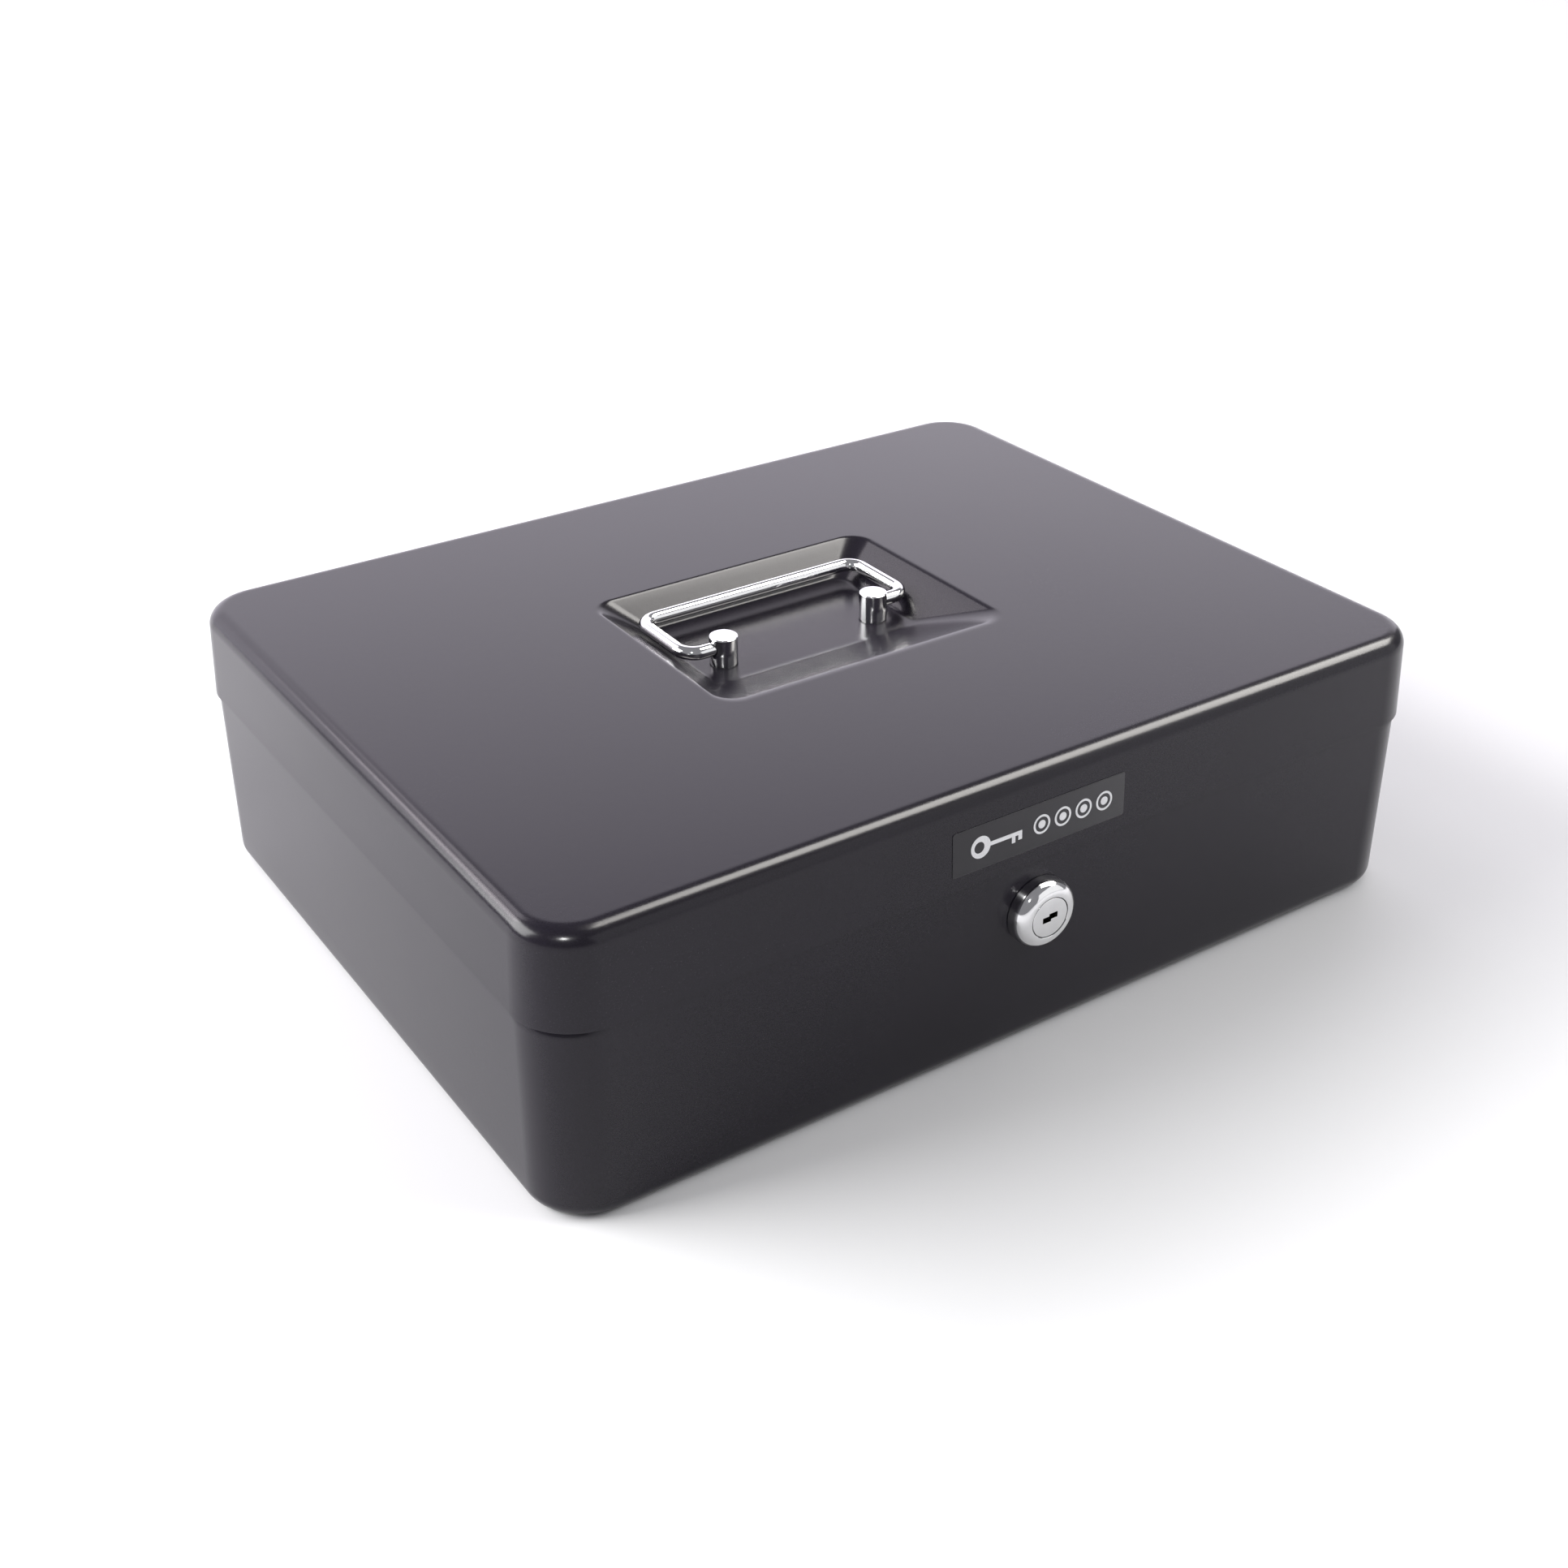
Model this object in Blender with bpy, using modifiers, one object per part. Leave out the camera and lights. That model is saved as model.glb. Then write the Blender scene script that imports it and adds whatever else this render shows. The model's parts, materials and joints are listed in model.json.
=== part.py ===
"""Steel cash box: a deep-drawn tub and hinged lid, a folding bail handle in a
recess, a cam lock with its catch, and a lift-out coin tray.

Frame: origin at the centre of the tub's underside, +X to the right as seen from
the front, -Y to the front, +Z up. The lid is shut, the handle folded to the rear
and the lock in its unlocked position.
"""

import math

import bmesh
import bpy
from mathutils import Vector

MM = 0.001

# Overall sizes
BOX_WIDTH = 305.0 * MM        # across the lid's skirt at its lower edge
BOX_DEPTH = 234.7 * MM        # front to back across the skirt
SEAM_HEIGHT = 60.2 * MM       # underside of the tub to the lower edge of the lid's skirt
LID_HEIGHT = 27.8 * MM        # that edge to the top of the lid
CORNER_RADIUS = 18.3 * MM     # upright corners, seen from above
SHEET = 0.7 * MM              # steel of the tub and the lid
GAP = 0.3 * MM                # air between pieces that touch
CORNER_STEPS = 8              # segments in a rounded corner
BEND_STEPS = 4                # segments in a bend of the sheet

# Lid
LID_DRAFT = 1.2 * MM          # how much the skirt leans in on each side
LID_EDGE_RADIUS = 5.3 * MM
SKIRT_GAP = 0.3 * MM          # air between the skirt and the tub

# Tub
TUB_EDGE_RADIUS = 5.0 * MM
TUB_FLARE = 0.4 * MM          # how much wider each side is at the foot than at the seam
RIM_OVERLAP = 6.0 * MM        # how far the tub's rim stands up inside the lid
RIM_JOGGLE = 0.6 * MM         # inward step that gives the lid room to swing
JOGGLE_HEIGHT = 1.6 * MM
HEM_RADIUS = 1.0 * MM         # outer radius of the rolled rim
HEM_DROP = 4.0 * MM

# Handle recess in the lid
RECESS_DEPTH = 9.1 * MM
RIM_HALF_X = 52.0 * MM
RIM_FRONT = -39.5 * MM
RIM_REAR = 41.5 * MM
RIM_CORNER = 8.0 * MM
FLOOR_HALF_X = 36.5 * MM
FLOOR_FRONT = -10.0 * MM
FLOOR_REAR = 31.0 * MM
FLOOR_CORNER = 4.0 * MM
RECESS_EASE = 0.12            # share of each sloping wall that is bend

# Handle and its posts
POST_RADIUS = 4.4 * MM
POST_SPACING = 55.6 * MM
PIVOT_DEPTH = 3.6 * MM        # handle's pivot below the lid's top
WIRE_RADIUS = 2.25 * MM
BAIL_SIDE_ROOM = 9.3 * MM    # from the recess's rim in to the outside of each arm
BAIL_REACH = 28.6 * MM        # pivot to the middle of the grip
BAIL_BEND = 5.5 * MM          # bend radius at the middle of the wire
SOCKET_DEPTH = 3.6 * MM       # blind hole in a post for the wire's end
SCREW_RADIUS = 1.6 * MM
SCREW_HEAD_RADIUS = 3.4 * MM
SCREW_HEAD_HEIGHT = 2.0 * MM
SLOT_HALF_WIDTH = 0.4 * MM    # screwdriver slots
SLOT_DEPTH = 0.9 * MM
POST_EDGE = 0.3 * MM          # chamfer round a post's top
POST_WASHER_RADIUS = 4.6 * MM
WASHER_THICKNESS = 0.8 * MM

# Lock
LOCK_BELOW_SEAM = 16.5 * MM
PLUG_RADIUS = 6.1 * MM
BARREL_WALL = 1.2 * MM
BARREL_LENGTH = 18.0 * MM
BEZEL_LIP = 2.8 * MM          # how far the bezel stands out past the barrel
BEZEL_SIDE = 2.4 * MM         # straight side of the bezel
BEZEL_HEIGHT = 6.0 * MM
BEZEL_FACE = 0.5 * MM         # flat ring between the dome and the plug
PLUG_SINK = 0.1 * MM          # plug's face below the bezel's
TAIL_RADIUS = 3.0 * MM
TAIL_FLAT = 2.3 * MM          # half the width across the tail's two flats
NUT_WALL = 1.9 * MM
NUT_THICKNESS = 4.0 * MM
LOCK_WASHER_RING = 4.0 * MM   # width of the washer under the nut
CAM_THICKNESS = 1.6 * MM
CAM_LENGTH = 19.0 * MM
CAM_HALF_WIDTH = 5.0 * MM
CAM_CORNER = 3.0 * MM
CAM_SCREW_RADIUS = 1.4 * MM
CAM_SCREW_LENGTH = 2.4 * MM   # how far the screw goes past the end of the barrel
CAM_SCREW_HEAD = 2.9 * MM
CAM_HEAD_HEIGHT = 1.8 * MM
CAM_WASHER_RADIUS = 4.6 * MM
KEYWAY_LENGTH = 5.2 * MM
KEYWAY_WIDTH = 1.8 * MM
KEYWAY_STEP = 0.75 * MM       # offset between the keyway's two halves
KEYWAY_DEPTH = 13.0 * MM
WAFER_COUNT = 4
WAFER_PITCH = 2.4 * MM
WAFER_START = 1.0 * MM        # first wafer behind the tub's face
WAFER_THICKNESS = 0.7 * MM
WAFER_CORNER = 0.8 * MM
WAFER_WIDTH_SHARE = 0.49      # half width and half length as shares of the plug's radius
WAFER_LENGTH_SHARE = 0.885

# Catch that the cam holds down
CATCH_ROOM = 1.43 * MM        # from the nut's corners to the catch's arm
CATCH_THICKNESS = 1.6 * MM
CATCH_FLANGE = 9.0 * MM
CATCH_ABOVE_RIM = 3.8 * MM    # lower edge of the part that is welded to the lid
CATCH_ARM_WIDTH = 8.0 * MM
CATCH_TOE = 11.0 * MM
CATCH_TOE_HEIGHT = 4.0 * MM

# Hinges
HINGE_X = 85.0 * MM
HINGE_LENGTH = 40.0 * MM
KNUCKLE_RADIUS = 2.2 * MM
PIN_RADIUS = 1.0 * MM
PIN_HEAD_RADIUS = 1.7 * MM
PIN_HEAD_HEIGHT = 0.8 * MM
LEAF_THICKNESS = 1.0 * MM
LEAF_HEIGHT = 14.0 * MM
CENTRE_KNUCKLE = 16.0 * MM
KNUCKLE_GAP = 0.4 * MM
RIVET_RADIUS = 1.2 * MM
RIVET_HEAD_RADIUS = 2.4 * MM
RIVET_HEAD_HEIGHT = 0.9 * MM
RIVET_SPREAD = 26.0 * MM
RIVET_OFFSET = 9.2 * MM       # rivets above or below the hinge's axis

# Label on the front of the skirt
LABEL_WIDTH = 60.0 * MM
LABEL_HEIGHT = 13.4 * MM
LABEL_THICKNESS = 0.25 * MM
LABEL_X = -1.0 * MM
LABEL_Z = 71.2 * MM
LABEL_CORNER = 0.8 * MM

# Coin tray and the ledges that carry it
LEDGE_LENGTH = 150.0 * MM
LEDGE_REACH = 8.0 * MM
LEDGE_DROP = 10.0 * MM
LEDGE_SHEET = 1.0 * MM
LEDGE_BELOW_SEAM = 3.2 * MM
TRAY_FLANGE = 1.6 * MM
TRAY_DEPTH = 25.0 * MM
TRAY_WALL = 2.0 * MM
TRAY_CLEARANCE = 1.2 * MM     # between the tray's flange and the tub's hem
TRAY_CORNER_EASE = 4.0 * MM   # how much rounder the flange's corners are than the rim's
TRAY_LIP = 5.8 * MM           # overhang of the flange on its ledges
TRAY_END_LIP = 3.0 * MM
NOTCH_HALF_WIDTH = 22.0 * MM  # room for the lock, its cam and the catch
NOTCH_DEPTH = 25.0 * MM
NOTCH_BEND = 4.0 * MM
CUP_ROW_DEPTH = 92.0 * MM     # coin cups along the front
CUP_RADIUS = 9.0 * MM
BIN_RADIUS = 5.0 * MM
BIN_COUNT = 3

# Sizes that follow from the ones above
BOX_HEIGHT = SEAM_HEIGHT + LID_HEIGHT
TUB_INSET = SHEET + SKIRT_GAP
RIM_TOP = SEAM_HEIGHT + RIM_OVERLAP
TUB_HALF_X = BOX_WIDTH / 2 - TUB_INSET
TUB_HALF_Y = BOX_DEPTH / 2 - TUB_INSET
HEM_INSET = RIM_JOGGLE + 2 * HEM_RADIUS
RECESS_FLOOR = BOX_HEIGHT - RECESS_DEPTH
PIVOT_HEIGHT = BOX_HEIGHT - PIVOT_DEPTH
HINGE_Y = BOX_DEPTH / 2 + GAP + KNUCKLE_RADIUS
HINGE_Z = SEAM_HEIGHT
DRAFT_RUN = BOX_HEIGHT - LID_EDGE_RADIUS - SEAM_HEIGHT
NECK_HEIGHT = SEAM_HEIGHT + GAP
FLARE_RUN = NECK_HEIGHT - TUB_EDGE_RADIUS
LOCK_HEIGHT = SEAM_HEIGHT - LOCK_BELOW_SEAM
BARREL_RADIUS = PLUG_RADIUS + GAP + BARREL_WALL
BEZEL_RADIUS = BARREL_RADIUS + BEZEL_LIP
NUT_CORNER = 2 * (BARREL_RADIUS + NUT_WALL) / math.sqrt(3)
CATCH_X = NUT_CORNER + CATCH_ROOM
WAFER_HALF_WIDTH = WAFER_WIDTH_SHARE * PLUG_RADIUS
WAFER_HALF_LENGTH = WAFER_LENGTH_SHARE * PLUG_RADIUS
BAIL_WIDTH = 2 * (RIM_HALF_X - BAIL_SIDE_ROOM - WIRE_RADIUS)
LEDGE_TOP = SEAM_HEIGHT - LEDGE_BELOW_SEAM
TRAY_HALF_X = TUB_HALF_X - HEM_INSET - TRAY_CLEARANCE
TRAY_HALF_Y = TUB_HALF_Y - HEM_INSET - TRAY_CLEARANCE
TRAY_CORNER = CORNER_RADIUS - TUB_INSET - HEM_INSET - TRAY_CLEARANCE + TRAY_CORNER_EASE


def tub_flare(height):
    """How far the tub's outside stands out at a height, compared with its neck."""
    return TUB_FLARE * (NECK_HEIGHT - height) / FLARE_RUN


LOCK_Y = -TUB_HALF_Y - tub_flare(LOCK_HEIGHT)


def start_empty():
    """Remove every object, so that the file holds only the cash box."""
    for item in list(bpy.data.objects):
        bpy.data.objects.remove(item, do_unlink=True)


def make_collection(name):
    group = bpy.data.collections.new(name)
    bpy.context.scene.collection.children.link(group)
    return group


start_empty()
PARTS = make_collection("cash_box")
CUTTERS = make_collection("cutters")


def make_material(name, colour, metallic, roughness):
    material = bpy.data.materials.new(name)
    material.use_nodes = True
    shader = material.node_tree.nodes["Principled BSDF"]
    shader.inputs["Base Color"].default_value = (*colour, 1.0)
    shader.inputs["Metallic"].default_value = metallic
    shader.inputs["Roughness"].default_value = roughness
    return material


BLACK_PAINT = make_material("black_paint", (0.030, 0.028, 0.033), 0.0, 0.38)
CHROME = make_material("chrome", (0.80, 0.80, 0.81), 1.0, 0.08)
ZINC = make_material("zinc_plate", (0.55, 0.56, 0.58), 1.0, 0.34)
BRASS = make_material("brass", (0.66, 0.48, 0.20), 1.0, 0.30)
FOIL = make_material("label_foil", (0.050, 0.046, 0.055), 0.2, 0.45)
TRAY_PLASTIC = make_material("tray_plastic", (0.020, 0.020, 0.022), 0.0, 0.52)


# ---------------------------------------------------------------- tools

def add_object(name, mesh, material, location=(0, 0, 0), rotation=(0, 0, 0), parent=None):
    item = bpy.data.objects.new(name, mesh)
    PARTS.objects.link(item)
    item.location = location
    item.rotation_euler = rotation
    item.parent = parent
    if material is not None:
        mesh.materials.clear()
        mesh.materials.append(material)
    return item


def add_empty(name, location, rotation=(0, 0, 0)):
    item = bpy.data.objects.new(name, None)
    PARTS.objects.link(item)
    item.location = location
    item.rotation_euler = rotation
    return item


def shade_round(mesh, angle=35.0):
    mesh.shade_smooth()
    mesh.set_sharp_from_angle(angle=math.radians(angle))


def finish_mesh(name, work):
    """Close a bmesh job: outward normals, smooth round faces, a new mesh."""
    bmesh.ops.recalc_face_normals(work, faces=work.faces)
    mesh = bpy.data.meshes.new(name)
    work.to_mesh(mesh)
    work.free()
    shade_round(mesh)
    return mesh


def cylinder_mesh(name, radius, length, steps=32):
    """A cylinder along Z, centred on its origin."""
    work = bmesh.new()
    bmesh.ops.create_cone(
        work, cap_ends=True, segments=steps, radius1=radius, radius2=radius, depth=length
    )
    return finish_mesh(name, work)


def box_mesh(name, low, high, edge_radius=0.0, edges="all", steps=3):
    """A box between two corners; edges names which of its edges are rounded."""
    work = bmesh.new()
    bmesh.ops.create_cube(work, size=1.0)
    low, high = Vector(low), Vector(high)
    for vertex in work.verts:
        share = vertex.co + Vector((0.5, 0.5, 0.5))
        vertex.co = low + Vector([share[i] * (high[i] - low[i]) for i in range(3)])
    if edge_radius:
        bottom = min(vertex.co.z for vertex in work.verts)
        picked = []
        for edge in work.edges:
            ends = [vertex.co.z for vertex in edge.verts]
            upright = abs(ends[0] - ends[1]) > 1e-9
            at_bottom = max(ends) < bottom + 1e-9
            if edges == "all" or upright or (edges == "cup" and at_bottom):
                picked.append(edge)
        bmesh.ops.bevel(
            work, geom=picked, offset=edge_radius, segments=steps, profile=0.5, affect="EDGES"
        )
    return finish_mesh(name, work)


def turned(name, profile, material, steps=32, closed=False, **place):
    """Turn a profile of (radius, height) points about Z with a Screw modifier."""
    mesh = bpy.data.meshes.new(name)
    edges = [(i, i + 1) for i in range(len(profile) - 1)]
    if closed:
        edges.append((len(profile) - 1, 0))
    mesh.from_pydata([(radius, 0.0, height) for radius, height in profile], edges, [])
    item = add_object(name, mesh, material, **place)
    screw = item.modifiers.new("turn", "SCREW")
    screw.axis = "Z"
    screw.steps = steps
    screw.render_steps = steps
    screw.use_merge_vertices = True
    screw.merge_threshold = 0.00001
    screw.use_smooth_shade = True
    return item


def plate_mesh(name, outlines, thickness):
    """A flat plate from closed outlines in XY; the inner ones are holes."""
    curve = bpy.data.curves.new(name, "CURVE")
    curve.dimensions = "2D"
    curve.fill_mode = "BOTH"
    curve.extrude = thickness / 2
    for outline in outlines:
        spline = curve.splines.new("POLY")
        spline.points.add(len(outline) - 1)
        for point, (x, y) in zip(spline.points, outline):
            point.co = (x, y, 0.0, 1.0)
        spline.use_cyclic_u = True
    return curve_to_mesh(name, curve)


def curve_to_mesh(name, curve):
    """The closed mesh of a curve, with its caps welded on."""
    guide = bpy.data.objects.new(name + "_curve", curve)
    PARTS.objects.link(guide)
    bpy.context.view_layer.update()
    graph = bpy.context.evaluated_depsgraph_get()
    mesh = bpy.data.meshes.new_from_object(guide.evaluated_get(graph))
    bpy.data.objects.remove(guide, do_unlink=True)
    work = bmesh.new()
    work.from_mesh(mesh)
    bmesh.ops.remove_doubles(work, verts=work.verts, dist=0.000001)
    bmesh.ops.recalc_face_normals(work, faces=work.faces)
    work.to_mesh(mesh)
    work.free()
    mesh.name = name
    shade_round(mesh)
    return mesh


def add_boolean(target, tool, operation):
    modifier = target.modifiers.new(operation.lower(), "BOOLEAN")
    modifier.operation = operation
    modifier.object = tool
    modifier.solver = "EXACT"


def as_tool(name, mesh, location=(0, 0, 0), rotation=(0, 0, 0)):
    """A cutter: it shapes other pieces and isn't one of the box's own."""
    tool = bpy.data.objects.new(name, mesh)
    CUTTERS.objects.link(tool)
    tool.location = location
    tool.rotation_euler = rotation
    tool.hide_render = True
    tool.display_type = "WIRE"
    return tool


def cut(target, name, mesh, location=(0, 0, 0), rotation=(0, 0, 0)):
    add_boolean(target, as_tool(name, mesh, location, rotation), "DIFFERENCE")


def drill(target, name, radius, length, centre, rotation=(0, 0, 0), steps=32):
    cut(target, name, cylinder_mesh(name, radius, length, steps), centre, rotation)


ALONG_X = (0, math.radians(90), 0)
ALONG_Y = (math.radians(90), 0, 0)


def arc(centre_x, centre_y, radius, start, end, steps):
    """Points on an arc from start to end degrees, both ends included."""
    points = []
    for i in range(steps + 1):
        angle = math.radians(start + (end - start) * i / steps)
        points.append((centre_x + radius * math.cos(angle), centre_y + radius * math.sin(angle)))
    return points


def circle(centre_x, centre_y, radius, steps=32):
    return arc(centre_x, centre_y, radius, 0.0, 360.0, steps)[:-1]


def rounded_rectangle(left, right, front, rear, radius, steps=CORNER_STEPS):
    """A rounded rectangle, counter-clockwise from above, the same count for any size."""
    points = arc(right - radius, rear - radius, radius, 0, 90, steps)
    points += arc(left + radius, rear - radius, radius, 90, 180, steps)
    points += arc(left + radius, front + radius, radius, 180, 270, steps)
    points += arc(right - radius, front + radius, radius, 270, 360, steps)
    return points


def box_ring(half_x, half_y, radius, inset, height):
    """One level of a shell: the plan outline moved in by inset, at a height."""
    outline = rounded_rectangle(
        inset - half_x, half_x - inset, inset - half_y, half_y - inset, max(radius - inset, GAP)
    )
    return [(x, y, height) for x, y in outline]


def lofted_shell(name, rings, material):
    """A sheet through the rings, closed at the last one, SHEET thick inwards."""
    work = bmesh.new()
    levels = [[work.verts.new(point) for point in ring] for ring in rings]
    for lower, upper in zip(levels, levels[1:]):
        for i in range(len(lower)):
            j = (i + 1) % len(lower)
            work.faces.new((lower[i], lower[j], upper[j], upper[i]))
    work.faces.new(levels[-1])
    mesh = bpy.data.meshes.new(name)
    work.to_mesh(mesh)
    work.free()
    shade_round(mesh, 25.0)
    item = add_object(name, mesh, material)
    sheet = item.modifiers.new("sheet", "SOLIDIFY")
    sheet.thickness = SHEET
    sheet.offset = -1.0
    sheet.use_even_offset = True
    return item


# ---------------------------------------------------------------- tub

def make_tub():
    """Drawn tub with a rounded foot, a joggled neck and a rolled-in rim."""
    rings = []
    joggle_end = NECK_HEIGHT + JOGGLE_HEIGHT
    curl_height = RIM_TOP - HEM_RADIUS
    rim = [(HEM_INSET, curl_height - HEM_DROP)]
    for x, y in arc(0, 0, HEM_RADIUS, 0, 180, 2 * BEND_STEPS - 2):
        rim.append((RIM_JOGGLE + HEM_RADIUS + x, curl_height + y))
    rim.append((RIM_JOGGLE, joggle_end))
    rim.append((0.0, NECK_HEIGHT))
    for x, y in arc(0, 0, TUB_EDGE_RADIUS, 0, 90, BEND_STEPS):
        rim.append((TUB_EDGE_RADIUS - x - TUB_FLARE, TUB_EDGE_RADIUS - y))
    corner = CORNER_RADIUS - TUB_INSET
    for inset, height in rim:
        rings.append(box_ring(TUB_HALF_X, TUB_HALF_Y, corner, inset, height))
    for ring in rings:
        ring.reverse()
    tub = lofted_shell("base_tub", rings, BLACK_PAINT)
    drill(tub, "cut_lock", BARREL_RADIUS + GAP, 6 * SHEET, (0, LOCK_Y, LOCK_HEIGHT), ALONG_Y, 40)
    return tub


def make_ledges():
    """Two angle strips, spot-welded inside the tub, that carry the coin tray."""
    wall = TUB_HALF_X - SHEET - GAP
    inner = wall - LEDGE_REACH
    profile = [
        (inner, LEDGE_TOP),
        (inner, LEDGE_TOP - LEDGE_SHEET),
        (wall - LEDGE_SHEET, LEDGE_TOP - LEDGE_SHEET),
        (wall - LEDGE_SHEET, LEDGE_TOP - LEDGE_DROP),
        (wall, LEDGE_TOP - LEDGE_DROP),
        (wall, LEDGE_TOP),
    ]
    mesh = plate_mesh("tray_ledge", [profile], LEDGE_LENGTH)
    add_object("tray_ledge_right", mesh, ZINC, rotation=ALONG_Y)
    add_object("tray_ledge_left", mesh, ZINC, rotation=(math.radians(90), 0, math.radians(180)))


# ---------------------------------------------------------------- lid

def skirt_inset(height):
    """How far the skirt's outside has leaned in at a height."""
    return LID_DRAFT * (height - SEAM_HEIGHT) / DRAFT_RUN


def recess_ring(share):
    """One level of the recess: share 0 is the rim on the lid, 1 is its floor."""
    ease = RECESS_EASE
    if share < ease:
        drop = share * share / (2 * ease)
    elif share > 1 - ease:
        drop = 1 - ease - (1 - share) * (1 - share) / (2 * ease)
    else:
        drop = share - ease / 2
    drop /= 1 - ease
    half_x = RIM_HALF_X + (FLOOR_HALF_X - RIM_HALF_X) * share
    front = RIM_FRONT + (FLOOR_FRONT - RIM_FRONT) * share
    rear = RIM_REAR + (FLOOR_REAR - RIM_REAR) * share
    corner = RIM_CORNER + (FLOOR_CORNER - RIM_CORNER) * share
    height = BOX_HEIGHT - RECESS_DEPTH * drop
    return [(x, y, height) for x, y in rounded_rectangle(-half_x, half_x, front, rear, corner)]


def make_lid():
    """Pressed lid: leaning skirt, rounded edge, flat top and the handle recess."""
    levels = [(0.0, SEAM_HEIGHT)]
    for x, y in arc(0, 0, LID_EDGE_RADIUS, 0, 90, BEND_STEPS):
        inset = LID_DRAFT + LID_EDGE_RADIUS - x
        levels.append((inset, BOX_HEIGHT - LID_EDGE_RADIUS + y))
    rings = []
    for inset, height in levels:
        rings.append(box_ring(BOX_WIDTH / 2, BOX_DEPTH / 2, CORNER_RADIUS, inset, height))
    bend = [RECESS_EASE * i / 3 for i in range(4)]
    for share in bend + [1 - part for part in reversed(bend)]:
        rings.append(recess_ring(share))
    lid = lofted_shell("lid_shell", rings, BLACK_PAINT)
    for side, x in (("left", -POST_SPACING / 2), ("right", POST_SPACING / 2)):
        hole = SCREW_RADIUS + GAP
        drill(lid, "cut_post_" + side, hole, 6 * SHEET, (x, 0, RECESS_FLOOR), steps=16)
    return lid


def make_label():
    """Foil label on the front of the skirt, leaning with it."""
    half_x, half_y = LABEL_WIDTH / 2, LABEL_HEIGHT / 2
    outline = rounded_rectangle(-half_x, half_x, -half_y, half_y, LABEL_CORNER, 3)
    mesh = plate_mesh("front_label", [outline], LABEL_THICKNESS)
    lean = math.atan2(LID_DRAFT, DRAFT_RUN)
    out = GAP + LABEL_THICKNESS / 2
    front = -BOX_DEPTH / 2 + skirt_inset(LABEL_Z) - out
    add_object(
        "front_label", mesh, FOIL, (LABEL_X, front, LABEL_Z), (math.radians(90) - lean, 0, 0)
    )


def make_catch():
    """Bent hook that hangs from the lid over the tub's rim and under the cam."""
    top = BOX_HEIGHT - SHEET - LID_EDGE_RADIUS
    foot_low = RIM_TOP + CATCH_ABOVE_RIM
    wall = -BOX_DEPTH / 2 + skirt_inset(top) + SHEET + GAP
    arm_rear = LOCK_Y + BARREL_LENGTH - CAM_HALF_WIDTH
    arm_front = arm_rear - CATCH_ARM_WIDTH
    toe_top = LOCK_HEIGHT - CAM_HALF_WIDTH - 2 * GAP
    toe_low = toe_top - CATCH_TOE_HEIGHT
    outline = [
        (wall, top),
        (wall, foot_low),
        (arm_front, foot_low),
        (arm_front, toe_low),
        (arm_rear + CATCH_TOE, toe_low),
        (arm_rear + CATCH_TOE, toe_top),
        (arm_rear, toe_top),
        (arm_rear, top),
    ]
    mesh = plate_mesh("lid_catch", [outline], CATCH_THICKNESS)
    catch = add_object(
        "lid_catch",
        mesh,
        ZINC,
        (CATCH_X + CATCH_THICKNESS / 2, 0, 0),
        (math.radians(90), 0, math.radians(90)),
    )
    flange = box_mesh(
        "join_catch_flange",
        (CATCH_X, wall, foot_low),
        (CATCH_X + CATCH_FLANGE, wall + CATCH_THICKNESS, top),
    )
    add_boolean(catch, as_tool("join_catch_flange", flange), "UNION")


# ---------------------------------------------------------------- handle

def make_posts():
    """Two turned posts, each held from below by a washer and a screw."""
    under = RECESS_FLOOR - SHEET
    washer_top = under - GAP
    head_top = washer_top - WASHER_THICKNESS - GAP
    socket = SCREW_RADIUS + GAP
    post_low = RECESS_FLOOR + GAP
    hole_top = PIVOT_HEIGHT - WIRE_RADIUS - 3 * GAP
    post_profile = [
        (0.0, BOX_HEIGHT),
        (POST_RADIUS - POST_EDGE, BOX_HEIGHT),
        (POST_RADIUS, BOX_HEIGHT - POST_EDGE),
        (POST_RADIUS, post_low),
        (socket, post_low),
        (socket, hole_top),
        (0.0, hole_top),
    ]
    washer_profile = [
        (POST_WASHER_RADIUS, washer_top),
        (POST_WASHER_RADIUS, washer_top - WASHER_THICKNESS),
        (socket, washer_top - WASHER_THICKNESS),
        (socket, washer_top),
    ]
    screw_profile = [
        (0.0, hole_top - GAP),
        (SCREW_RADIUS, hole_top - GAP),
        (SCREW_RADIUS, head_top),
        (SCREW_HEAD_RADIUS, head_top),
        (SCREW_HEAD_RADIUS, head_top - SCREW_HEAD_HEIGHT * 0.55),
        (SCREW_HEAD_RADIUS * 0.6, head_top - SCREW_HEAD_HEIGHT),
        (0.0, head_top - SCREW_HEAD_HEIGHT),
    ]
    slot = box_mesh(
        "cut_driver_slot",
        (-SCREW_HEAD_RADIUS * 2, -SLOT_HALF_WIDTH, -SLOT_DEPTH),
        (SCREW_HEAD_RADIUS * 2, SLOT_HALF_WIDTH, SLOT_DEPTH),
    )
    for side, sign in (("left", -1), ("right", 1)):
        x = sign * POST_SPACING / 2
        post = turned("handle_post_" + side, post_profile, CHROME, location=(x, 0, 0))
        mouth = sign * (POST_SPACING / 2 + POST_RADIUS)
        drill(
            post,
            "cut_socket_" + side,
            WIRE_RADIUS + GAP,
            2 * SOCKET_DEPTH,
            (mouth, 0, PIVOT_HEIGHT),
            ALONG_X,
            24,
        )
        turned("post_washer_" + side, washer_profile, ZINC, 24, closed=True, location=(x, 0, 0))
        screw = turned("post_screw_" + side, screw_profile, ZINC, 24, location=(x, 0, 0))
        cut(screw, "cut_slot_" + side, slot, (x, 0, head_top - SCREW_HEAD_HEIGHT))


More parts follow.
